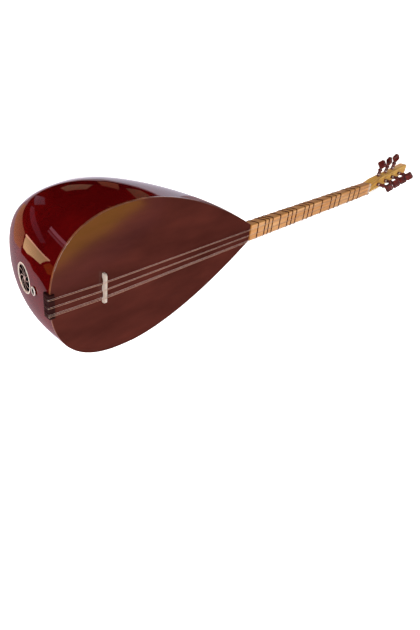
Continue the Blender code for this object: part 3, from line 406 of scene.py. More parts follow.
finishes = {
    "bowl": lacqueredBowlWood(),
    # Bare mulberry inside the bowl, gouged and left rough: dark brown, no gloss
    "inside": patterned(
        "bareGougedMulberry", instrumentCoords, (40, 120, 120), {"Detail": 4.0},
        [(0.3, "#0b0504"), (0.7, "#190c08")], {"Roughness": 0.9, "Specular IOR Level": 0.1}),
    # Quarter-sawn spruce, stained red-brown, under a thinner rubbed lacquer: fine straight
    # grain along the strings, 1.5 mm apart, and a softer shine than the bowl's
    "board": patterned(
        "redBrownLacquerOnSpruce", instrumentCoords, (1.5, 1, 1),
        {"Scale": 210.0, "Distortion": 1.2, "Detail": 3.0, "Detail Scale": 0.4,
         "Detail Roughness": 0.6},
        [(0.25, "#3c1813"), (0.48, "#4f241e"), (0.75, "#602c24")],
        {"Roughness": 0.6, "Specular IOR Level": 0.0, "Coat Weight": 0.8,
         "Coat Roughness": 0.09, "Coat IOR": 1.5},
        relief={"Strength": 0.04, "Distance": 0.0002},
        clouds={"stretch": (8, 24, 8), "detail": 5.0, "share": 0.22},
        wave={"wave_type": "BANDS", "bands_direction": "Y", "wave_profile": "SAW"}),
    # The board's rounded edge faces: a lighter orange-brown line
    "boardEdge": patterned(
        "sandedThroughBoardEdge", instrumentCoords, (60, 60, 60), {"Detail": 3.0},
        [(0.3, "#5c2a16"), (0.7, "#8a4a22")],
        {"Roughness": 0.35, "Coat Weight": 1.0, "Coat Roughness": 0.06}),
    "neck": neckWood("satinHornbeamNeck", 0.0, "#c98348", "#ebab6f", "#f6c089", "#fdd6a8"),
    # The neck's sides and back: the side wood's deeper honey tone, darkened further by painted
    # shade
    "neckSide": neckWood(
        "agedHornbeamNeckSides", 0.0, "#a3642a", "#bf7f3a", "#cf9148", "#dfa860"),
    "head": neckWood(
        "satinHornbeamPeghead", headPlan["bend"], "#dc9a38", "#edb04c", "#f7c463", "#fbd888"),
    # Rosewood-stained hardwood, carved and burnished: dark red-brown
    "peg": patterned(
        "burnishedRosewood", objectCoords, (160, 160, 60), {"Detail": 5.0, "Distortion": 0.6},
        [(0.3, "#2a0505"), (0.52, "#5e120c"), (0.75, "#8a2a18")],
        {"Roughness": 0.4, "Specular IOR Level": 0.3, "Coat Weight": 0.35,
         "Coat Roughness": 0.12},
        {"Strength": 0.1, "Distance": 0.0002}),
    # The bridge's bone is greyer than the rest, from handling
    "bone": filedBone("filedBone", "#e6dacd", "#c6b5a4"),
    "handledBone": filedBone("handledBone", "#d3c4b7", "#ab998b"),
    # Pearwood, sawn to a swirl: pale pinkish brown on its face, with painted shade on the walls of
    # its cuts
    "lattice": grainedWood(
        "sawnPearwoodFretwork", (300, 300, 300), "#b08a80", "#cfaea4", 0.45, 0.3),
    "sawCut": grainedWood("scorchedSawCut", (300, 300, 300), "#0b0403", "#1a0b09", 0.8, 0.0, 0.1),
    # Pearwood stained nearly black, and bare spruce, pale with straight grain
    "strip": grainedWood("darkPearwoodStrip", (40, 500, 300), "#160505", "#340f0e", 0.6, 0.0, 0.12),
    "spruce": grainedWood("planedSpruce", (20, 20, 600), "#c9a878", "#e3cda2", 0.6, 0.0),
    # Brown nylon line, pulled tight round the neck: smooth, with a dull sheen
    "line": patterned(
        "brownNylonLine", objectCoords, (900, 900, 900), {"Detail": 2.0},
        [(0.3, "#350f09"), (0.7, "#541c11")], {"Roughness": 0.5, "Specular IOR Level": 0.2}),
    "steel": drawnMetal("drawnMusicWire", "#dccdc6", "#bcaea8", 0.3, 900),
    "bronze": drawnMetal("bronzeWoundString", "#d2b3a2", "#ae8c7b", 0.35, 2500),
    # The jack's socket: nickel painted near black, as painted shade for its dark bore
    "dulled": drawnMetal("dulledNickelBore", "#2a2826", "#181716", 0.6, 300),
    "nickel": drawnMetal("satinNickelPlate", "#efe3dc", "#d8cac2", 0.5, 300, 0.4),
    "brass": drawnMetal("rolledBrass", "#d8ba74", "#b9985a", 0.35, 300),
    # Soft PVC insulation, extruded: black with a faint orange-peel surface
    "rubber": patterned(
        "blackPvcInsulation", objectCoords, (1200, 1200, 1200), {"Detail": 2.0},
        [(0.3, "#0f0f10"), (0.7, "#1d1c1c")], {"Roughness": 0.55}),
}
print("materials made:", len(finishes))


# Bowl

bowlPlan = {
    "length": 0.41, "width": 0.248, "depth": 0.20093, "widestAt": 0.146, "deepestAt": 0.122,
    "rim": 0.0032, "wall": 0.005,
    "tailCorner": 2.72, "tailRound": 2.15, "shoulderStart": 1.64, "shoulderEnd": 0.99,
    "backCorner": 4.8, "backRound": 1.36, "heelStart": 1.64, "heelEnd": 2.6,
    "sectionSide": 2.28, "sectionBottom": 3.1, "neckSide": 1.9, "neckBottom": 2.0,
    "blendFrom": 0.28, "belly": 0.0331,
    "tailRows": 26, "tailSplit": 0.03, "bodyRows": 92, "around": 88, "smoothUnder": 32,
    "crowding": 1.4,  # closer steps near both rims, where the wall turns in
}


def fall(t, start, end):
    # From 1 down to 0 as t goes from 0 to 1, slowly at first for a high start
    return max(0.0, 1 - t ** start) ** end


def halfWidth(x):
    plan = bowlPlan
    middle = plan["width"] / 2
    if x < plan["widestAt"]:
        t = (plan["widestAt"] - x) / plan["widestAt"]
        return middle * fall(t, plan["tailCorner"], 1 / plan["tailRound"])
    t = (x - plan["widestAt"]) / (plan["length"] - plan["widestAt"])
    share = fall(t, plan["shoulderStart"], plan["shoulderEnd"])
    return blend(neckPlan["widthAtBody"] / 2, middle, share)


def bowlDepth(x):
    plan = bowlPlan
    if x < plan["deepestAt"]:
        t = (plan["deepestAt"] - x) / plan["deepestAt"]
        return plan["depth"] * fall(t, plan["backCorner"], 1 / plan["backRound"])
    t = (x - plan["deepestAt"]) / (plan["length"] - plan["deepestAt"])
    share = fall(t, plan["heelStart"], plan["heelEnd"])
    return blend(neckPlan["depthAtBody"], plan["depth"], share)


def tailX(down):
    plan = bowlPlan
    share = fall(down / plan["depth"], plan["backRound"], 1 / plan["backCorner"])
    return plan["deepestAt"] * (1 - share)


def bowlPoint(x, angle):
    # A point of the bowl's outside: x along it, angle from the +Y rim under to the -Y rim
    plan = bowlPlan
    share = max(0.0, (x - plan["blendFrom"]) / (plan["length"] - plan["blendFrom"]))
    # A smooth step from the bowl's section to the neck's
    share = share * share * (3 - 2 * share)
    side = blend(plan["sectionSide"], plan["neckSide"], share)
    bottom = blend(plan["sectionBottom"], plan["neckBottom"], share)
    drop = max(0.0, math.sin(angle)) ** (2 / bottom)
    # The sides bulge by the belly's share, most of it half-way down
    swell = 1 + plan["belly"] * 4 * drop * (1 - drop)
    across = abs(math.cos(angle)) ** (2 / side) * swell * halfWidth(x)
    deep = max(0.0, bowlDepth(x) - plan["rim"])
    return Vector((x, math.copysign(across, math.cos(angle)), -plan["rim"] - deep * drop))


def bowlRows():
    plan = bowlPlan
    tailDepth = bowlDepth(plan["tailSplit"])
    rows = [tailX(tailDepth * i / plan["tailRows"]) for i in range(plan["tailRows"])]
    for i in range(plan["bodyRows"] + 1):
        rows.append(blend(plan["tailSplit"], plan["length"], i / plan["bodyRows"]))
    return rows


def tailFrame(depthFromTop, out):
    return frameAt(Vector((tailX(depthFromTop), 0, -depthFromTop)), out, Vector((0, 1, 0)))


def makeBowl():
    plan = bowlPlan
    rows = bowlRows()
    last = len(rows) - 1
    bpy.ops.mesh.primitive_grid_add(x_subdivisions=last, y_subdivisions=plan["around"], size=2)
    bowl = newest("bowlShell")
    for vert in bowl.data.vertices:
        row = round((vert.co.x + 1) / 2 * last)
        angle = math.pi / 2 * (1 - abs(vert.co.y)) ** plan["crowding"]
        if vert.co.y < 0:
            angle = math.pi - angle
        vert.co = bowlPoint(rows[row], angle)
    mergeAndFaceOut(bowl)
    wall = bowl.modifiers.new("wall", "SOLIDIFY")
    wall.thickness = plan["wall"]
    wall.offset = -1
    wall.use_even_offset = True
    wall.material_offset = 1
    wear(bowl, "bowl", "inside")
    applyModifiers(bowl)
    return bowl


# Trim of the tail wall: places of the sound hole and the jack

tailPlan = {
    "holeDepth": 0.0843, "ringRadius": 0.0241, "ringThick": 0.0025, "holeRadius": 0.0208,
    "jackDepth": 0.0464, "jackBarrel": 0.0048,
    "stripWidth": 0.038, "stripDrop": 0.011, "stripLip": 0.0017, "stripLength": 0.0065,
    "clearance": 0.0001, "reach": 0.012, "holeSides": 96, "jackSides": 48,
    "slopeStep": 0.002,  # the wall's slope is taken this far above and below the hole
}


def holeFrame():
    plan = tailPlan
    step = plan["slopeStep"]
    run = tailX(plan["holeDepth"] + step) - tailX(plan["holeDepth"] - step)
    slope = math.atan2(run, 2 * step)
    return tailFrame(plan["holeDepth"], Vector((-math.cos(slope), 0, -math.sin(slope))))


def jackFrame():
    out = Vector((-math.cos(restTilt), 0, -math.sin(restTilt)))
    return tailFrame(tailPlan["jackDepth"], out)


def cutTail(bowl):
    plan = tailPlan
    slack, reach, sides = plan["clearance"], plan["reach"], plan["holeSides"]
    seat = plan["ringRadius"] + slack
    bore = plan["jackBarrel"] + slack
    boolean(bowl, addCylinder("seat", seat, -plan["ringThick"] - slack, reach, holeFrame(), sides))
    boolean(bowl, addCylinder("hole", plan["holeRadius"], -reach, reach, holeFrame(), sides))
    boolean(bowl, addCylinder("jack", bore, -reach, reach, jackFrame(), plan["jackSides"]))
    half = plan["stripWidth"] / 2 + slack
    boolean(bowl, addBox("strip", (-reach, -half, -plan["stripDrop"] - slack),
                         (plan["stripLip"] + slack, half, reach)))
    # The cuts go through to bare wood
    cuts = ((holeFrame().inverted(), seat), (jackFrame().inverted(), bore))
    for face in bowl.data.polygons:
        for toCut, radius in cuts:
            middle = toCut @ face.center
            if math.hypot(middle.x, middle.y) < radius and abs(middle.z) < reach:
                face.material_index = 1


latticePlan = {
    "radius": 0.022, "thick": 0.0014, "rim": 0.0205, "hub": 0.0034, "bar": 0.0013,
    "openings": 8, "twist": math.radians(46), "barSteps": 20, "rimSteps": 10, "sides": 128,
    "ease": 0.0003, "easeOver": 50,
    "lit": 0.5,  # faces turned further from outwards than this are dark
}


def swirlOutline():
    # One opening of the lattice, between two curved bars, its hub and its rim
    plan = latticePlan
    step = 2 * math.pi / plan["openings"]

    def barEdge(share, side):
        radius = blend(plan["hub"], plan["rim"], share)
        angle = plan["twist"] * share + side * (step / 2 - math.asin(plan["bar"] / 2 / radius))
        return polar(radius, angle)

    shares = [i / plan["barSteps"] for i in range(plan["barSteps"] + 1)]
    outline = [barEdge(share, -1) for share in shares]
    start = math.atan2(outline[-1][1], outline[-1][0])
    width = step - 2 * math.asin(plan["bar"] / 2 / plan["rim"])
    for k in range(1, plan["rimSteps"]):
        angle = start + width * k / plan["rimSteps"]
        outline.append(polar(plan["rim"], angle))
    return outline + [barEdge(share, 1) for share in reversed(shares)]


def makeLattice():
    plan = latticePlan
    low = -tailPlan["ringThick"]
    lattice = addCylinder("soundHoleLattice", plan["radius"], low, low + plan["thick"],
                          holeFrame(), plan["sides"])
    outline = [(x, y, 2 * low) for x, y in swirlOutline()]
    for i in range(plan["openings"]):
        cutter = addPlate("opening", outline, -3 * low)
        turn = Matrix.Rotation(2 * math.pi * i / plan["openings"], 4, "Z")
        cutter.data.transform(holeFrame() @ turn)
        boolean(lattice, cutter)
    easeEdges(lattice, plan["ease"], plan["easeOver"])
    # Painted shade on the walls of the openings, which face away from the outside
    outwards = holeFrame().to_3x3() @ Vector((0, 0, 1))
    wearTwo(lattice, "lattice", "sawCut", lambda face: face.normal.dot(outwards) > plan["lit"])
    return lattice


bowl = makeBowl()
cutTail(bowl)
smooth(bowl, bowlPlan["smoothUnder"], keepFlats=False)
dress(layDown(bowl), "instrument", "bowl_lacquer", "bowl")
dress(layDown(makeLattice()), "instrument", "pale_wood", "sound_hole_lattice")
print("bowl and lattice made")


# Soundboard

boardPlan = {
    "thickness": 0.0031, "edgeRound": 0.001, "edgeSteps": 3, "smoothUnder": 35,
    "topBand": 0.0001,  # edges no further down than this are rounded
    "faceUp": 0.9,  # faces more level than this are the lacquered ones
}


def makeSoundboard():
    plan = boardPlan
    rows = bowlRows()[1:]
    right = [(x, halfWidth(x), 0) for x in rows]
    left = [(x, -halfWidth(x), 0) for x in reversed(rows)]
    board = addPlate("soundboardPlate", [(0, 0, 0), *right, *left], -plan["thickness"])
    pick(board, "EDGE", lambda edge: all(
        board.data.vertices[i].co.z > -plan["topBand"] for i in edge.vertices))
    bpy.ops.mesh.bevel(offset=plan["edgeRound"], segments=plan["edgeSteps"], affect="EDGES")
    leaveEdit()
    reach, slack = tailPlan["reach"], tailPlan["clearance"]
    half = tailPlan["stripWidth"] / 2 + slack
    boolean(board, addBox("notch", (-reach, -half, -reach),
                          (tailPlan["stripLength"] + slack, half, reach)))
    wearTwo(board, "board", "boardEdge", lambda face: abs(face.normal.z) > plan["faceUp"])
    smooth(board, plan["smoothUnder"])
    return board


dress(layDown(makeSoundboard()), "instrument", "board_lacquer", "soundboard")
print("soundboard made")


# Neck and peghead: one section each, extruded from station to station

def roundedSection(wide, deep, lean, edge, back):
    # A flat top, sides that lean in and a rounded back, as (y, z) points from z = 0
    low = wide / 2 - deep * math.tan(lean)
    corners = [
        (Vector((wide / 2, 0)), edge, neckPlan["edgeSteps"]),
        (Vector((low, -deep)), back, neckPlan["backSteps"]),
        (Vector((-low, -deep)), back, neckPlan["backSteps"]),
        (Vector((-wide / 2, 0)), edge, neckPlan["edgeSteps"]),
    ]
    points = []
    for i, (corner, radius, steps) in enumerate(corners):
        before = (corners[i - 1][0] - corner).normalized()
        after = (corners[(i + 1) % len(corners)][0] - corner).normalized()
        half = before.angle(after) / 2
        centre = corner + (before + after).normalized() * radius / math.sin(half)
        start = corner + before * radius / math.tan(half) - centre
        for k in range(steps + 1):
            turn = Matrix.Rotation(-(math.pi - 2 * half) * k / steps, 2)
            points.append(centre + turn @ start)
    return points


def neckRing(x, grow=0.0):
    # The neck's section at x, or a line that runs round it at the distance grow
    plan = neckPlan
    share = (x - plan["bodyEnd"]) / (plan["nutAt"] - plan["bodyEnd"])
    lean = plan["sideLean"]
    wide = blend(plan["widthAtBody"], plan["widthAtNut"], share)
    deep = blend(plan["depthAtBody"], plan["depthAtNut"], share) + plan["rise"]
    wide += 2 * grow * (1 / math.cos(lean) + math.tan(lean))
    section = roundedSection(
        wide, deep + 2 * grow, lean, plan["edgeRadius"] + grow, plan["backRadius"] + grow)
    return [Vector((x, y, z + plan["rise"] + grow)) for y, z in section]


def extrudeAlong(name, rings):
    # A face on the first ring, extruded from ring to ring, its corners then put on each
    piece = addFace(name, rings[0])
    enterEdit(piece, "FACE")
    for before, ring in zip(rings, rings[1:]):
        bpy.ops.mesh.extrude_region_move()
        leaveEdit()
        for vert in piece.data.vertices:
            if vert.select:
                nearest = min(range(len(ring)), key=lambda i: (before[i] - vert.co).length_squared)
                vert.co = ring[nearest]
        bpy.ops.object.mode_set(mode="EDIT")
    leaveEdit()
    mergeAndFaceOut(piece)
    return piece


def makeNeck():
    plan = neckPlan
    neck = extrudeAlong("neckShaft", [neckRing(plan["start"]), neckRing(plan["end"])])
    wide = plan["widthAtNut"]
    seat = (plan["nutAt"] - tailPlan["clearance"], -wide, plan["rise"] - plan["nutSeat"])
    boolean(neck, addBox("nutSeat", seat, (plan["end"] + wide, wide, wide)))
    smooth(neck, plan["smoothUnder"])
    # The sides and the back are darker than the planed face: painted shade for the sides turned
    # from the light, over the deeper honey tone of the side wood
    wearTwo(neck, "neck", "neckSide", lambda face: face.normal.z > plan["faceUp"])
    return neck


dress(layDown(makeNeck()), "instrument", "neck_wood", "neck")
print("neck made")


def headSize(along):
    share = along / headPlan["length"]
    wide = blend(headPlan["width"], headPlan["endWidth"], share)
    return wide, blend(headPlan["depth"], headPlan["endDepth"], share)


def headSection(along):
    # The neck's section where the two are glued, and a squarer one from a little further on
    plan = headPlan
    share = min(1.0, along / plan["blendOver"])
    wide, deep = headSize(along)
    return roundedSection(
        wide, deep,
        blend(neckPlan["sideLean"], plan["sideLean"], share),
        blend(neckPlan["edgeRadius"], plan["edgeRadius"], share),
        blend(neckPlan["backRadius"], plan["backRadius"], share))


def makePeghead():
    plan = headPlan
    slope = math.tan(plan["bend"])
    rings = [[headPoint(-z * slope, y, z) for y, z in headSection(0)]]
    straight = plan["length"] - plan["dome"]
    stops = [(plan["blendOver"] * (i + 1) / plan["blendSteps"], 1.0)
             for i in range(plan["blendSteps"])]
    for i in range(plan["domeSteps"] + 1):
        turn = math.pi / 2 * i / plan["domeSteps"]
        left = plan["endShare"] + (1 - plan["endShare"]) * math.cos(turn)
        stops.append((straight + plan["dome"] * math.sin(turn), left))
    for along, left in stops:
        middle = -headSize(along)[1] / 2
        rings.append([headPoint(along, y * left, middle + (z - middle) * left)
                      for y, z in headSection(along)])
    return extrudeAlong("pegheadBlock", rings)


# Pegs: one is carved, then copied to each place

pegPlan = {
    "shankRadius": 0.0036, "tipRadius": 0.0028, "clearance": 0.00012, "stemSides": 32,
    "longest": 0.02,  # the master's shank, which each copy then shortens
    "headCentre": 0.0275, "headRadius": 0.0088, "headLobe": 0.11, "headStretch": 1.1,
    "headThick": 0.0084, "headSides": 72, "lobes": 4, "smoothUnder": 38,
    "seam": 0.00001,  # the head's halves are mirrored and joined within this
    # (height, radius) of the turned stem, from the wood up to the head
    "stem": [(0.0, 0.0036), (0.0118, 0.0036), (0.0123, 0.004), (0.013, 0.0049),
             (0.0145, 0.0052), (0.0157, 0.0047), (0.0165, 0.0038), (0.0185, 0.0035),
             (0.0215, 0.0037), (0.024, 0.004), (0.027, 0.003)],
    # (share of half the thickness, share of the outline) of the head's cushioned faces
    "cushion": [(0.42, 1.0), (0.7, 0.955), (0.88, 0.86), (0.97, 0.72), (1.0, 0.5)],
}
pegNames = [joint["child"] for joint in frame["joints"]]


def pegFrame(name):
    joint = joints[name]
    ahead = Vector((0, 1, 0)) if name.startswith("front") else restPlace.to_3x3() @ outOfHead
    return frameAt(Vector(joint["pos_m"]), Vector(joint["axis"]), ahead)


def pegCorners(name):
    place = pegFrame(name).inverted()
    return [place @ vert.co for vert in nodes[name].data.vertices]


def headTurn(name):
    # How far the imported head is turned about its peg: the way in which its corners spread
    head = [corner for corner in pegCorners(name) if corner.z > pegPlan["headCentre"]]
    xx = sum(corner.x ** 2 for corner in head)
    yy = sum(corner.y ** 2 for corner in head)
    xy = sum(corner.x * corner.y for corner in head)
    return math.atan2(2 * xy, xx - yy) / 2


def carveStem():
    plan = pegPlan
    bpy.ops.mesh.primitive_circle_add(
        vertices=plan["stemSides"], radius=plan["tipRadius"], fill_type="NGON")
    peg = newest("pegMaster")
    peg.data.transform(Matrix.Translation((0, 0, -plan["longest"])))
    enterEdit(peg, "FACE")
    extrudeScaled(-plan["longest"], plan["tipRadius"], plan["stem"])
    leaveEdit()
    mergeAndFaceOut(peg)
    return peg


def carveHead():
    plan = pegPlan
    count = plan["headSides"]
    outline = []
    for i in range(count):
        angle = 2 * math.pi * i / count
        radius = plan["headRadius"] * (1 + plan["headLobe"] * math.cos(plan["lobes"] * angle))
        x, y = polar(radius, angle)
        outline.append((x * plan["headStretch"], y, 0))
    # One cushioned face is extruded from the middle plane in shrinking steps, then mirrored
    head = addFace("pegHead", outline)
    enterEdit(head, "FACE")
    half = plan["headThick"] / 2
    extrudeScaled(0, 1, [(half * out, scale) for out, scale in plan["cushion"]])
    leaveEdit()
    other = head.modifiers.new("otherFace", "MIRROR")
    other.use_axis = (False, False, True)
    other.merge_threshold = plan["seam"]
    applyModifiers(head)
    mergeAndFaceOut(head)
    # The first face is inside now, in the middle plane
    pick(head, "FACE", lambda face: abs(face.center.z) < plan["seam"])
    bpy.ops.mesh.delete(type="FACE")
    leaveEdit()
    stand = Matrix.Translation((0, 0, plan["headCentre"])) @ Matrix.Rotation(math.pi / 2, 4, "X")
    head.data.transform(stand)
    return head


def makePegs():
    plan = pegPlan
    master = carveStem()
    boolean(master, carveHead(), "UNION")
    smooth(master, plan["smoothUnder"], keepFlats=False)
    wear(master, "peg")
    for name in pegNames:
        peg = master.copy()
        peg.data = master.data.copy()
        peg.name = name.replace("_", "") + "Carved"
        bpy.context.scene.collection.objects.link(peg)
        through = -min(corner.z for corner in pegCorners(name))
        for vert in peg.data.vertices:
            if vert.co.z < -plan["longest"] / 2:
                vert.co.z += plan["longest"] - through
        peg.data.transform(pegFrame(name) @ Matrix.Rotation(headTurn(name), 4, "Z"))
        dress(peg, name, "peg_wood", name)
    bpy.data.objects.remove(master, do_unlink=True)


def drillPeghead(head):
    radius = pegPlan["shankRadius"] + pegPlan["clearance"]
    low = -2 * headPlan["depth"]
    high = headPlan["depth"] / 2
    for name in pegNames:
        boolean(head, addCylinder(
            name + "Hole", radius, low, high, pegFrame(name), pegPlan["stemSides"]))
    tip = headPoint(headPlan["length"], 0, -headPlan["endDepth"] / 2)
    place = restPlace @ frameAt(tip, alongHead, Vector((0, 1, 0)))
    deep = headPlan["strapDepth"]
    boolean(head, addCylinder(
        "strapHole", headPlan["strapBore"], -deep, deep, place, headPlan["strapSides"]))


head = layDown(makePeghead())
drillPeghead(head)
smooth(head, headPlan["smoothUnder"])
wear(head, "head")
dress(head, "instrument", "neck_wood", "peghead")
makePegs()
print("peghead and pegs made")


# Windings: each string's turns on its peg

windingPlan = {
    "height": 0.0045, "width": 0.0032, "turns": 7, "wire": 0.00021, "seat": 0.0039,
    "pointsPerTurn": 20,
}
tubePlan = {
    "merge": 0.000001,  # tubes are finer than other pieces, so they merge over less
    "resolution": 1,
}


def tubeAlong(name, paths, radius, cyclic=False):
    # Round tubes along lists of points, as one mesh
    curve = bpy.data.curves.new(name, "CURVE")
    curve.dimensions = "3D"
    curve.bevel_depth = radius
    curve.bevel_resolution = tubePlan["resolution"]
    curve.render_resolution_u = 0
    curve.use_fill_caps = not cyclic
    for path in paths:
        spline = curve.splines.new("POLY")
        spline.points.add(len(path) - 1)
        for point, co in zip(spline.points, path):
            point.co = (*co, 1)
        spline.use_cyclic_u = cyclic
    guide = bpy.data.objects.new(name, curve)
    bpy.context.scene.collection.objects.link(guide)
    selectOnly(guide)
    bpy.ops.object.convert(target="MESH")
    piece = newest(name)
    mergeAndFaceOut(piece, tubePlan["merge"])
    selectOnly(piece)
    bpy.ops.object.shade_smooth()
    return piece


def makeWindings():
    plan = windingPlan
    perTurn = plan["pointsPerTurn"]
    count = plan["turns"] * perTurn
    for name in pegNames:
        path = []
        for i in range(count + 1):
            height = plan["height"] + plan["width"] * (i / count - 0.5)
            path.append((*polar(plan["seat"] + plan["wire"], 2 * math.pi * i / perTurn), height))
        coil = tubeAlong(name.replace("_", "") + "Coil", [path], plan["wire"])
        coil.data.transform(pegFrame(name))
        wear(coil, "steel")
        dress(coil, name, "steel", name.replace("peg", "winding"))


makeWindings()
print("windings made")


# Tied frets: four turns of line round the neck, and a knot low on the side

fretPlan = {
    "turns": 4, "line": 0.00033, "stand": 0.00004,
    "knotScale": 0.000325, "knotLift": 0.00052, "knotPoints": 30,
    "knotAt": 17,  # the point of the neck's section that the knot sits on
    "tag": 0.0016,  # what is left of the two cut ends
    "tagLean": (0.55, 0.7, 0.5),  # along the neck, round it and outwards
}


def trefoil(scale, points):
    # A trefoil knot's curve, whose loops reach three times the scale from its middle
    path = []
    for i in range(points):
        t = 2 * math.pi * i / points
        path.append(scale * Vector((math.sin(t) + 2 * math.sin(2 * t),
                                    math.cos(t) - 2 * math.cos(2 * t), -math.sin(3 * t))))
    return path


def joinPieces(pieces, name):
    selectOnly(pieces[0])
    for piece in pieces:
        piece.select_set(True)
    bpy.ops.object.join()
    return newest(name)


def tieKnot(name, x):
    # A hard little knot in the middle of the turns, with both ends cut short beside it
    plan = fretPlan
    ring = neckRing(x, 2 * plan["line"])
    at, before, after = (ring[plan["knotAt"] + i] for i in (0, -1, 1))
    along = (after - before).normalized()
    out = along.cross(Vector((1, 0, 0))).normalized()
    if out.dot(at - Vector((x, 0, at.z))) < 0:
        out = -out
    place = frameAt(at + out * plan["knotLift"], out, along)
    loops = [place @ point for point in trefoil(plan["knotScale"], plan["knotPoints"])]
    alongNeck, roundNeck, outwards = plan["tagLean"]
    ends = []
    for side in (-1, 1):
        root = at + out * plan["line"]
        lean = Vector((side * alongNeck, 0, 0)) + along * roundNeck + out * outwards
        ends.append([root, root + lean.normalized() * plan["tag"]])
    knot = tubeAlong(name + "Loops", [loops], plan["line"], cyclic=True)
    tags = tubeAlong(name + "Ends", ends, plan["line"])
    return knot, tags


def makeFrets():
    plan = fretPlan
    toLocal = restPlace.inverted()
    for name in sorted(name for name in nodes if name.startswith("fret_")):
        xs = [(toLocal @ vert.co).x for vert in nodes[name].data.vertices]
        centre = (min(xs) + max(xs)) / 2
        paths = []
        for turn in range(plan["turns"]):
            x = centre + (turn - (plan["turns"] - 1) / 2) * 2 * plan["line"]
            paths.append(neckRing(x, plan["stand"] + plan["line"]))
        label = name.replace("_", "")
        turns = tubeAlong(label + "Turns", paths, plan["line"], cyclic=True)
        fret = layDown(joinPieces([turns, *tieKnot(label, centre)], label + "Line"))
        wear(fret, "line")
        dress(fret, "instrument", "fret_line", name)


makeFrets()
print("frets tied")


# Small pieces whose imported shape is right: their edges are eased

softPlan = {"flatWithin": 1.5, "easeOver": 30}


def softCopy(node, name, width):
    piece = nodes[node].copy()
    piece.data = nodes[node].data.copy()
    piece.animation_data_clear()
    for key in [key for key in piece.keys() if key.startswith("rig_")]:
        del piece[key]
    piece.parent = None
    bpy.context.scene.collection.objects.link(piece)
    piece.name = name
    piece.data.name = name
    mergeAndFaceOut(piece)
    enterEdit(piece, "VERT")
    bpy.ops.mesh.dissolve_limited(angle_limit=math.radians(softPlan["flatWithin"]))
    leaveEdit()
    easeEdges(piece, width, softPlan["easeOver"])
    return piece


for node, name, width, finish, slot in (
    ("sound_hole_ring", "soundHoleRing", 0.0005, "bone", "bone"),
    ("bridge", "boneBridge", 0.0004, "handledBone", "bone"),
    ("nut", "boneNut", 0.0003, "bone", "bone"),
    ("tail_strip", "tailStrip", 0.0004, "strip", "ebony"),
    ("jack_nut", "jackNut", 0.0003, "nickel", "nickel"),
):
    piece = softCopy(node, name, width)
    wear(piece, finish)
    dress(piece, "instrument", slot, node)

for finish, plain in {
    "spruce": ("soundboard_brace_1", "soundboard_brace_2"),
    # The socket's near-black finish is painted shade for its bore
    "dulled": ("jack_socket",),
    "brass": ("pickup_disc",),
    "rubber": ("pickup_lead",),
    "steel": ("string_1", "string_3", "string_5", "string_6"),
    "bronze": ("string_2", "string_4", "string_7"),
}.items():
    for node in plain:
        wear(nodes[node], finish)
print("small pieces dressed")


# Camera, floor and lights

cameraPlan = {
    # In the instrument's own frame
    "centre": (-0.33211, 0.4527, 0.57522), "look": (0.62331, -0.56551, -0.54008),
    "up": (0.33542, 0.81724, -0.46862),
    "focalPixels": 568.7, "longSidePixels": 630, "sensor": 36.0,
}
floorPlan = {"size": 40.0, "colour": "#f4f3f1", "lift": 0.8}
worldPlan = {"onObject": 0.45, "seen": 1.0}
cardPlan = {"lowest": 0.002, "apart": 0.0008}


def makeCamera():
    plan = cameraPlan
    data = bpy.data.cameras.new("camera")
    data.sensor_width = plan["sensor"]
    data.lens = plan["sensor"] * plan["focalPixels"] / plan["longSidePixels"]
    camera = bpy.data.objects.new("camera", data)
    bpy.context.scene.collection.objects.link(camera)
    back = -Vector(plan["look"]).normalized()
    right = Vector(plan["up"]).cross(back).normalized()
    turn = Matrix((right, back.cross(right), back)).transposed().to_4x4()
    camera.matrix_world = restPlace @ Matrix.Translation(plan["centre"]) @ turn
    bpy.context.scene.camera = camera


def makeFloor():
    bpy.ops.mesh.primitive_plane_add(size=floorPlan["size"])
    floor = newest("floor")
    # Matt white paper: the camera sees it a little brighter, so that it reads as white
    material, tree, shader = startMaterial("whitePaperFloor")
    rays = addNode(tree, "ShaderNodeLightPath")
    lift = addNode(tree, "ShaderNodeMath", {"operation": "MULTIPLY"}, {
        0: rays.outputs["Is Camera Ray"], 1: floorPlan["lift"]})
    setInputs(tree, shader, {
        "Base Color": linear(floorPlan["colour"]), "Roughness": 0.9, "Specular IOR Level": 0.0,
        "Emission Color": linear("#ffffff"), "Emission Strength": lift.outputs["Value"]})
    floor.data.materials.append(material)


def makeWorld():
    world = bpy.data.worlds.new("studio")
    bpy.context.scene.world = world
    world.use_nodes = True
    tree = world.node_tree
    rays = addNode(tree, "ShaderNodeLightPath")
    strength = addNode(tree, "ShaderNodeMapRange", inputs={
        "Value": rays.outputs["Is Camera Ray"],
        "To Min": worldPlan["onObject"], "To Max": worldPlan["seen"]})
    setInputs(tree, tree.nodes["Background"], {
        "Color": linear("#ffffff"), "Strength": strength.outputs["Result"]})


def addLamp(name, place, target, size, power, inGloss=False):
    data = bpy.data.lights.new(name, "AREA")
    data.shape = "RECTANGLE"
    data.size, data.size_y = size
    data.energy = power
    lamp = bpy.data.objects.new(name, data)
    bpy.context.scene.collection.objects.link(lamp)
    lamp.matrix_world = frameAt(Vector(place), Vector(place) - Vector(target), Vector((0, 0, 1)))
    lamp.visible_glossy = inGloss


def addCard(name, colour, strength, corners):
    # A card or a flag beside the instrument, which only its gloss picks up
    card = addFace(name, corners)
    material, tree, shader = startMaterial(name + "Card")
    setInputs(tree, shader, {
        "Base Color": linear("#000000"), "Specular IOR Level": 0.0,
        "Emission Color": linear(colour), "Emission Strength": strength})
    card.data.materials.append(material)
    for ray in ("camera", "diffuse", "transmission", "shadow"):
        setattr(card, "visible_" + ray, False)


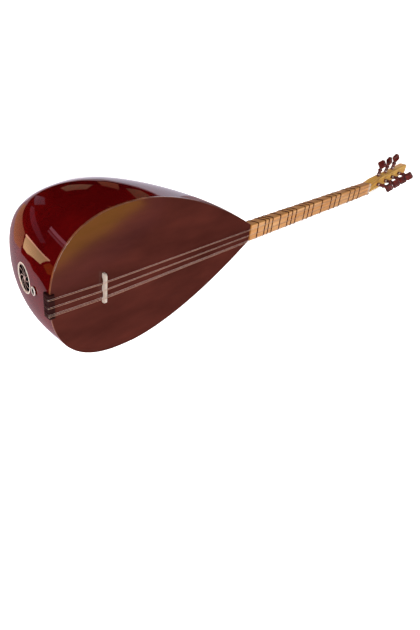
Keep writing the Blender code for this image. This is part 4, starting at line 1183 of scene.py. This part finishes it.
makeCamera()
makeFloor()
makeWorld()
addLamp("keySoftbox", place=(-1.3, 0.5, 1.9), target=(0, 0, 0.1), size=(1.4, 1.0), power=26,
        inGloss=True)
addLamp("fillSoftbox", place=(0.9, -1.6, 1.7), target=(0, 0, 0.1), size=(1.6, 1.2), power=22)
addLamp("tailSoftbox", place=(-2.0, -0.4, 0.8), target=(-0.3, 0, 0.1), size=(1.2, 1.0), power=10)

# The room that the lacquer mirrors, on the floor round the tail: a dusky cloth under the bowl,
# the dark floor beyond it, a low window with its frame and its glow, and smaller bright things
mirrored = {
    "duskyCloth": ("#b49aa2", 1.15, [(-6, -6), (6, -6), (6, 6), (-6, 6)]),
    "paleCloth": ("#c6c0ce", 1.8, [
        (-0.47, -0.3), (-0.47, 0.08), (-0.37, 0.12), (-0.29, 0.15), (-0.17, 0.175), (-0.12, 0.15),
        (-0.08, -0.3)]),
    "darkFloor": ("#100404", 1.0, [
        (-2.0, -0.75), (-0.7, -0.11), (-0.65, -0.08), (-0.61, -0.06), (-0.6, -0.04),
        (-0.56, -0.02), (-0.57, 0.05), (-0.53, 0.07), (-0.49, 0.09), (-0.45, 0.1),
        (-0.41, 0.11), (-0.37, 0.13), (-0.33, 0.15), (-0.29, 0.16), (-0.23, 0.17),
        (-0.17, 0.18), (-0.12, 0.15), (-0.04, 0.03), (1.6, 0.0), (1.6, 2.4), (-2.0, 2.4)]),
    "warmGlow": ("#ffb88a", 0.8, [
        (-0.57, 0.05), (-0.57, 0.01), (-0.555, -0.01), (-0.53, 0.0), (-0.51, 0.04),
        (-0.48, 0.075), (-0.49, 0.09), (-0.53, 0.07)]),
    "emberGlow": ("#ff8c30", 0.7, [
        (-0.72, 0.01), (-0.76, -0.02), (-0.82, 0.0), (-0.84, 0.06), (-0.77, 0.06)]),
    "lowWindow": ("#ffd9a0", 2.9, [
        (-0.58, 0.05), (-0.67, 0.06), (-0.76, 0.07), (-0.72, 0.03), (-0.69, 0.0),
        (-0.59, -0.01), (-0.57, 0.0), (-0.575, 0.03)]),
    "windowFrame": ("#ffc4a4", 5.0, [
        (-0.575, 0.045), (-0.67, 0.056), (-0.76, 0.066), (-0.76, 0.078), (-0.67, 0.064),
        (-0.575, 0.053)]),
    "clothFold": ("#f0a4b8", 1.9, [(-0.62, 0.19), (-0.61, 0.203), (-0.71, 0.268), (-0.74, 0.252)]),
    "lowFold": ("#f0a4b8", 0.9, [(-0.63, 0.175), (-0.625, 0.185), (-0.74, 0.243), (-0.75, 0.225)]),
    "sheerCurtain": ("#c08098", 0.5, [
        (-0.5, 0.108), (-0.51, 0.122), (-0.6, 0.132), (-0.68, 0.132), (-0.66, 0.1),
        (-0.58, 0.098)]),
    "greyPane": ("#a0a8c0", 0.45, [(-0.46, 0.1), (-0.47, 0.14), (-0.5, 0.16), (-0.5, 0.12)]),
    "tanPane": ("#c8a080", 0.7, [
        (-0.42, 0.14), (-0.4, 0.14), (-0.35, 0.17), (-0.37, 0.19), (-0.42, 0.17)]),
    "redPane": ("#d08060", 0.65, [(-0.34, 0.15), (-0.29, 0.17), (-0.29, 0.21), (-0.33, 0.18)]),
    "olivePane": ("#a09070", 0.6, [(-0.27, 0.19), (-0.23, 0.18), (-0.19, 0.2), (-0.24, 0.25)]),
    "farPane": ("#d07040", 0.5, [(-0.34, 0.29), (-0.29, 0.29), (-0.3, 0.31), (-0.34, 0.31)]),
}
for layer, (name, (colour, strength, outline)) in enumerate(mirrored.items()):
    height = cardPlan["lowest"] + cardPlan["apart"] * layer
    addCard(name, colour, strength, [(x, y, height) for x, y in outline])
# The edge in which the mauve and the ochre wall meet
wallEdge = [(0.448, -0.731, 1.242), (0.534, -0.68, 1.217), (0.631, -0.634, 1.177),
            (0.701, -0.587, 1.16), (0.787, -0.543, 1.128)]
walls = {
    "mauveWall": ("#8a6080", 0.5, [
        (0.25, -0.9, 1.25), (0.46, -0.8, 1.17), (0.64, -0.71, 1.1), (0.8, -0.6, 1.06),
        (0.9, -0.47, 1.1), *reversed(wallEdge), (0.25, -0.84, 1.31)]),
    # What the strings mirror, in a long line of light along each
    "stringGlint": ("#ffe9e0", 3.2, [
        (0.1, 0.0, 1.5), (2.0, 0.0, 1.5), (2.0, 0.7, 1.5), (0.1, 0.7, 1.5)]),
    # What the soundboard mirrors: a dark wall, and an ochre one low in front of it
    "darkWall": ("#100606", 1.0, [
        (0.4, -2.6, 0.02), (2.6, -0.2, 0.02), (2.6, -0.2, 2.6), (0.4, -2.6, 2.6)]),
    "ochreWall": ("#ffbc27", 2.4, [
        (0.25, -0.84, 1.31), *wallEdge, (0.722, -0.213, 1.493), (0.185, -0.51, 1.675)]),
}
for name, (colour, strength, corners) in walls.items():
    addCard(name, colour, strength, corners)
print("camera, floor and lights set")

view = bpy.context.scene.view_settings
view.view_transform = "Standard"
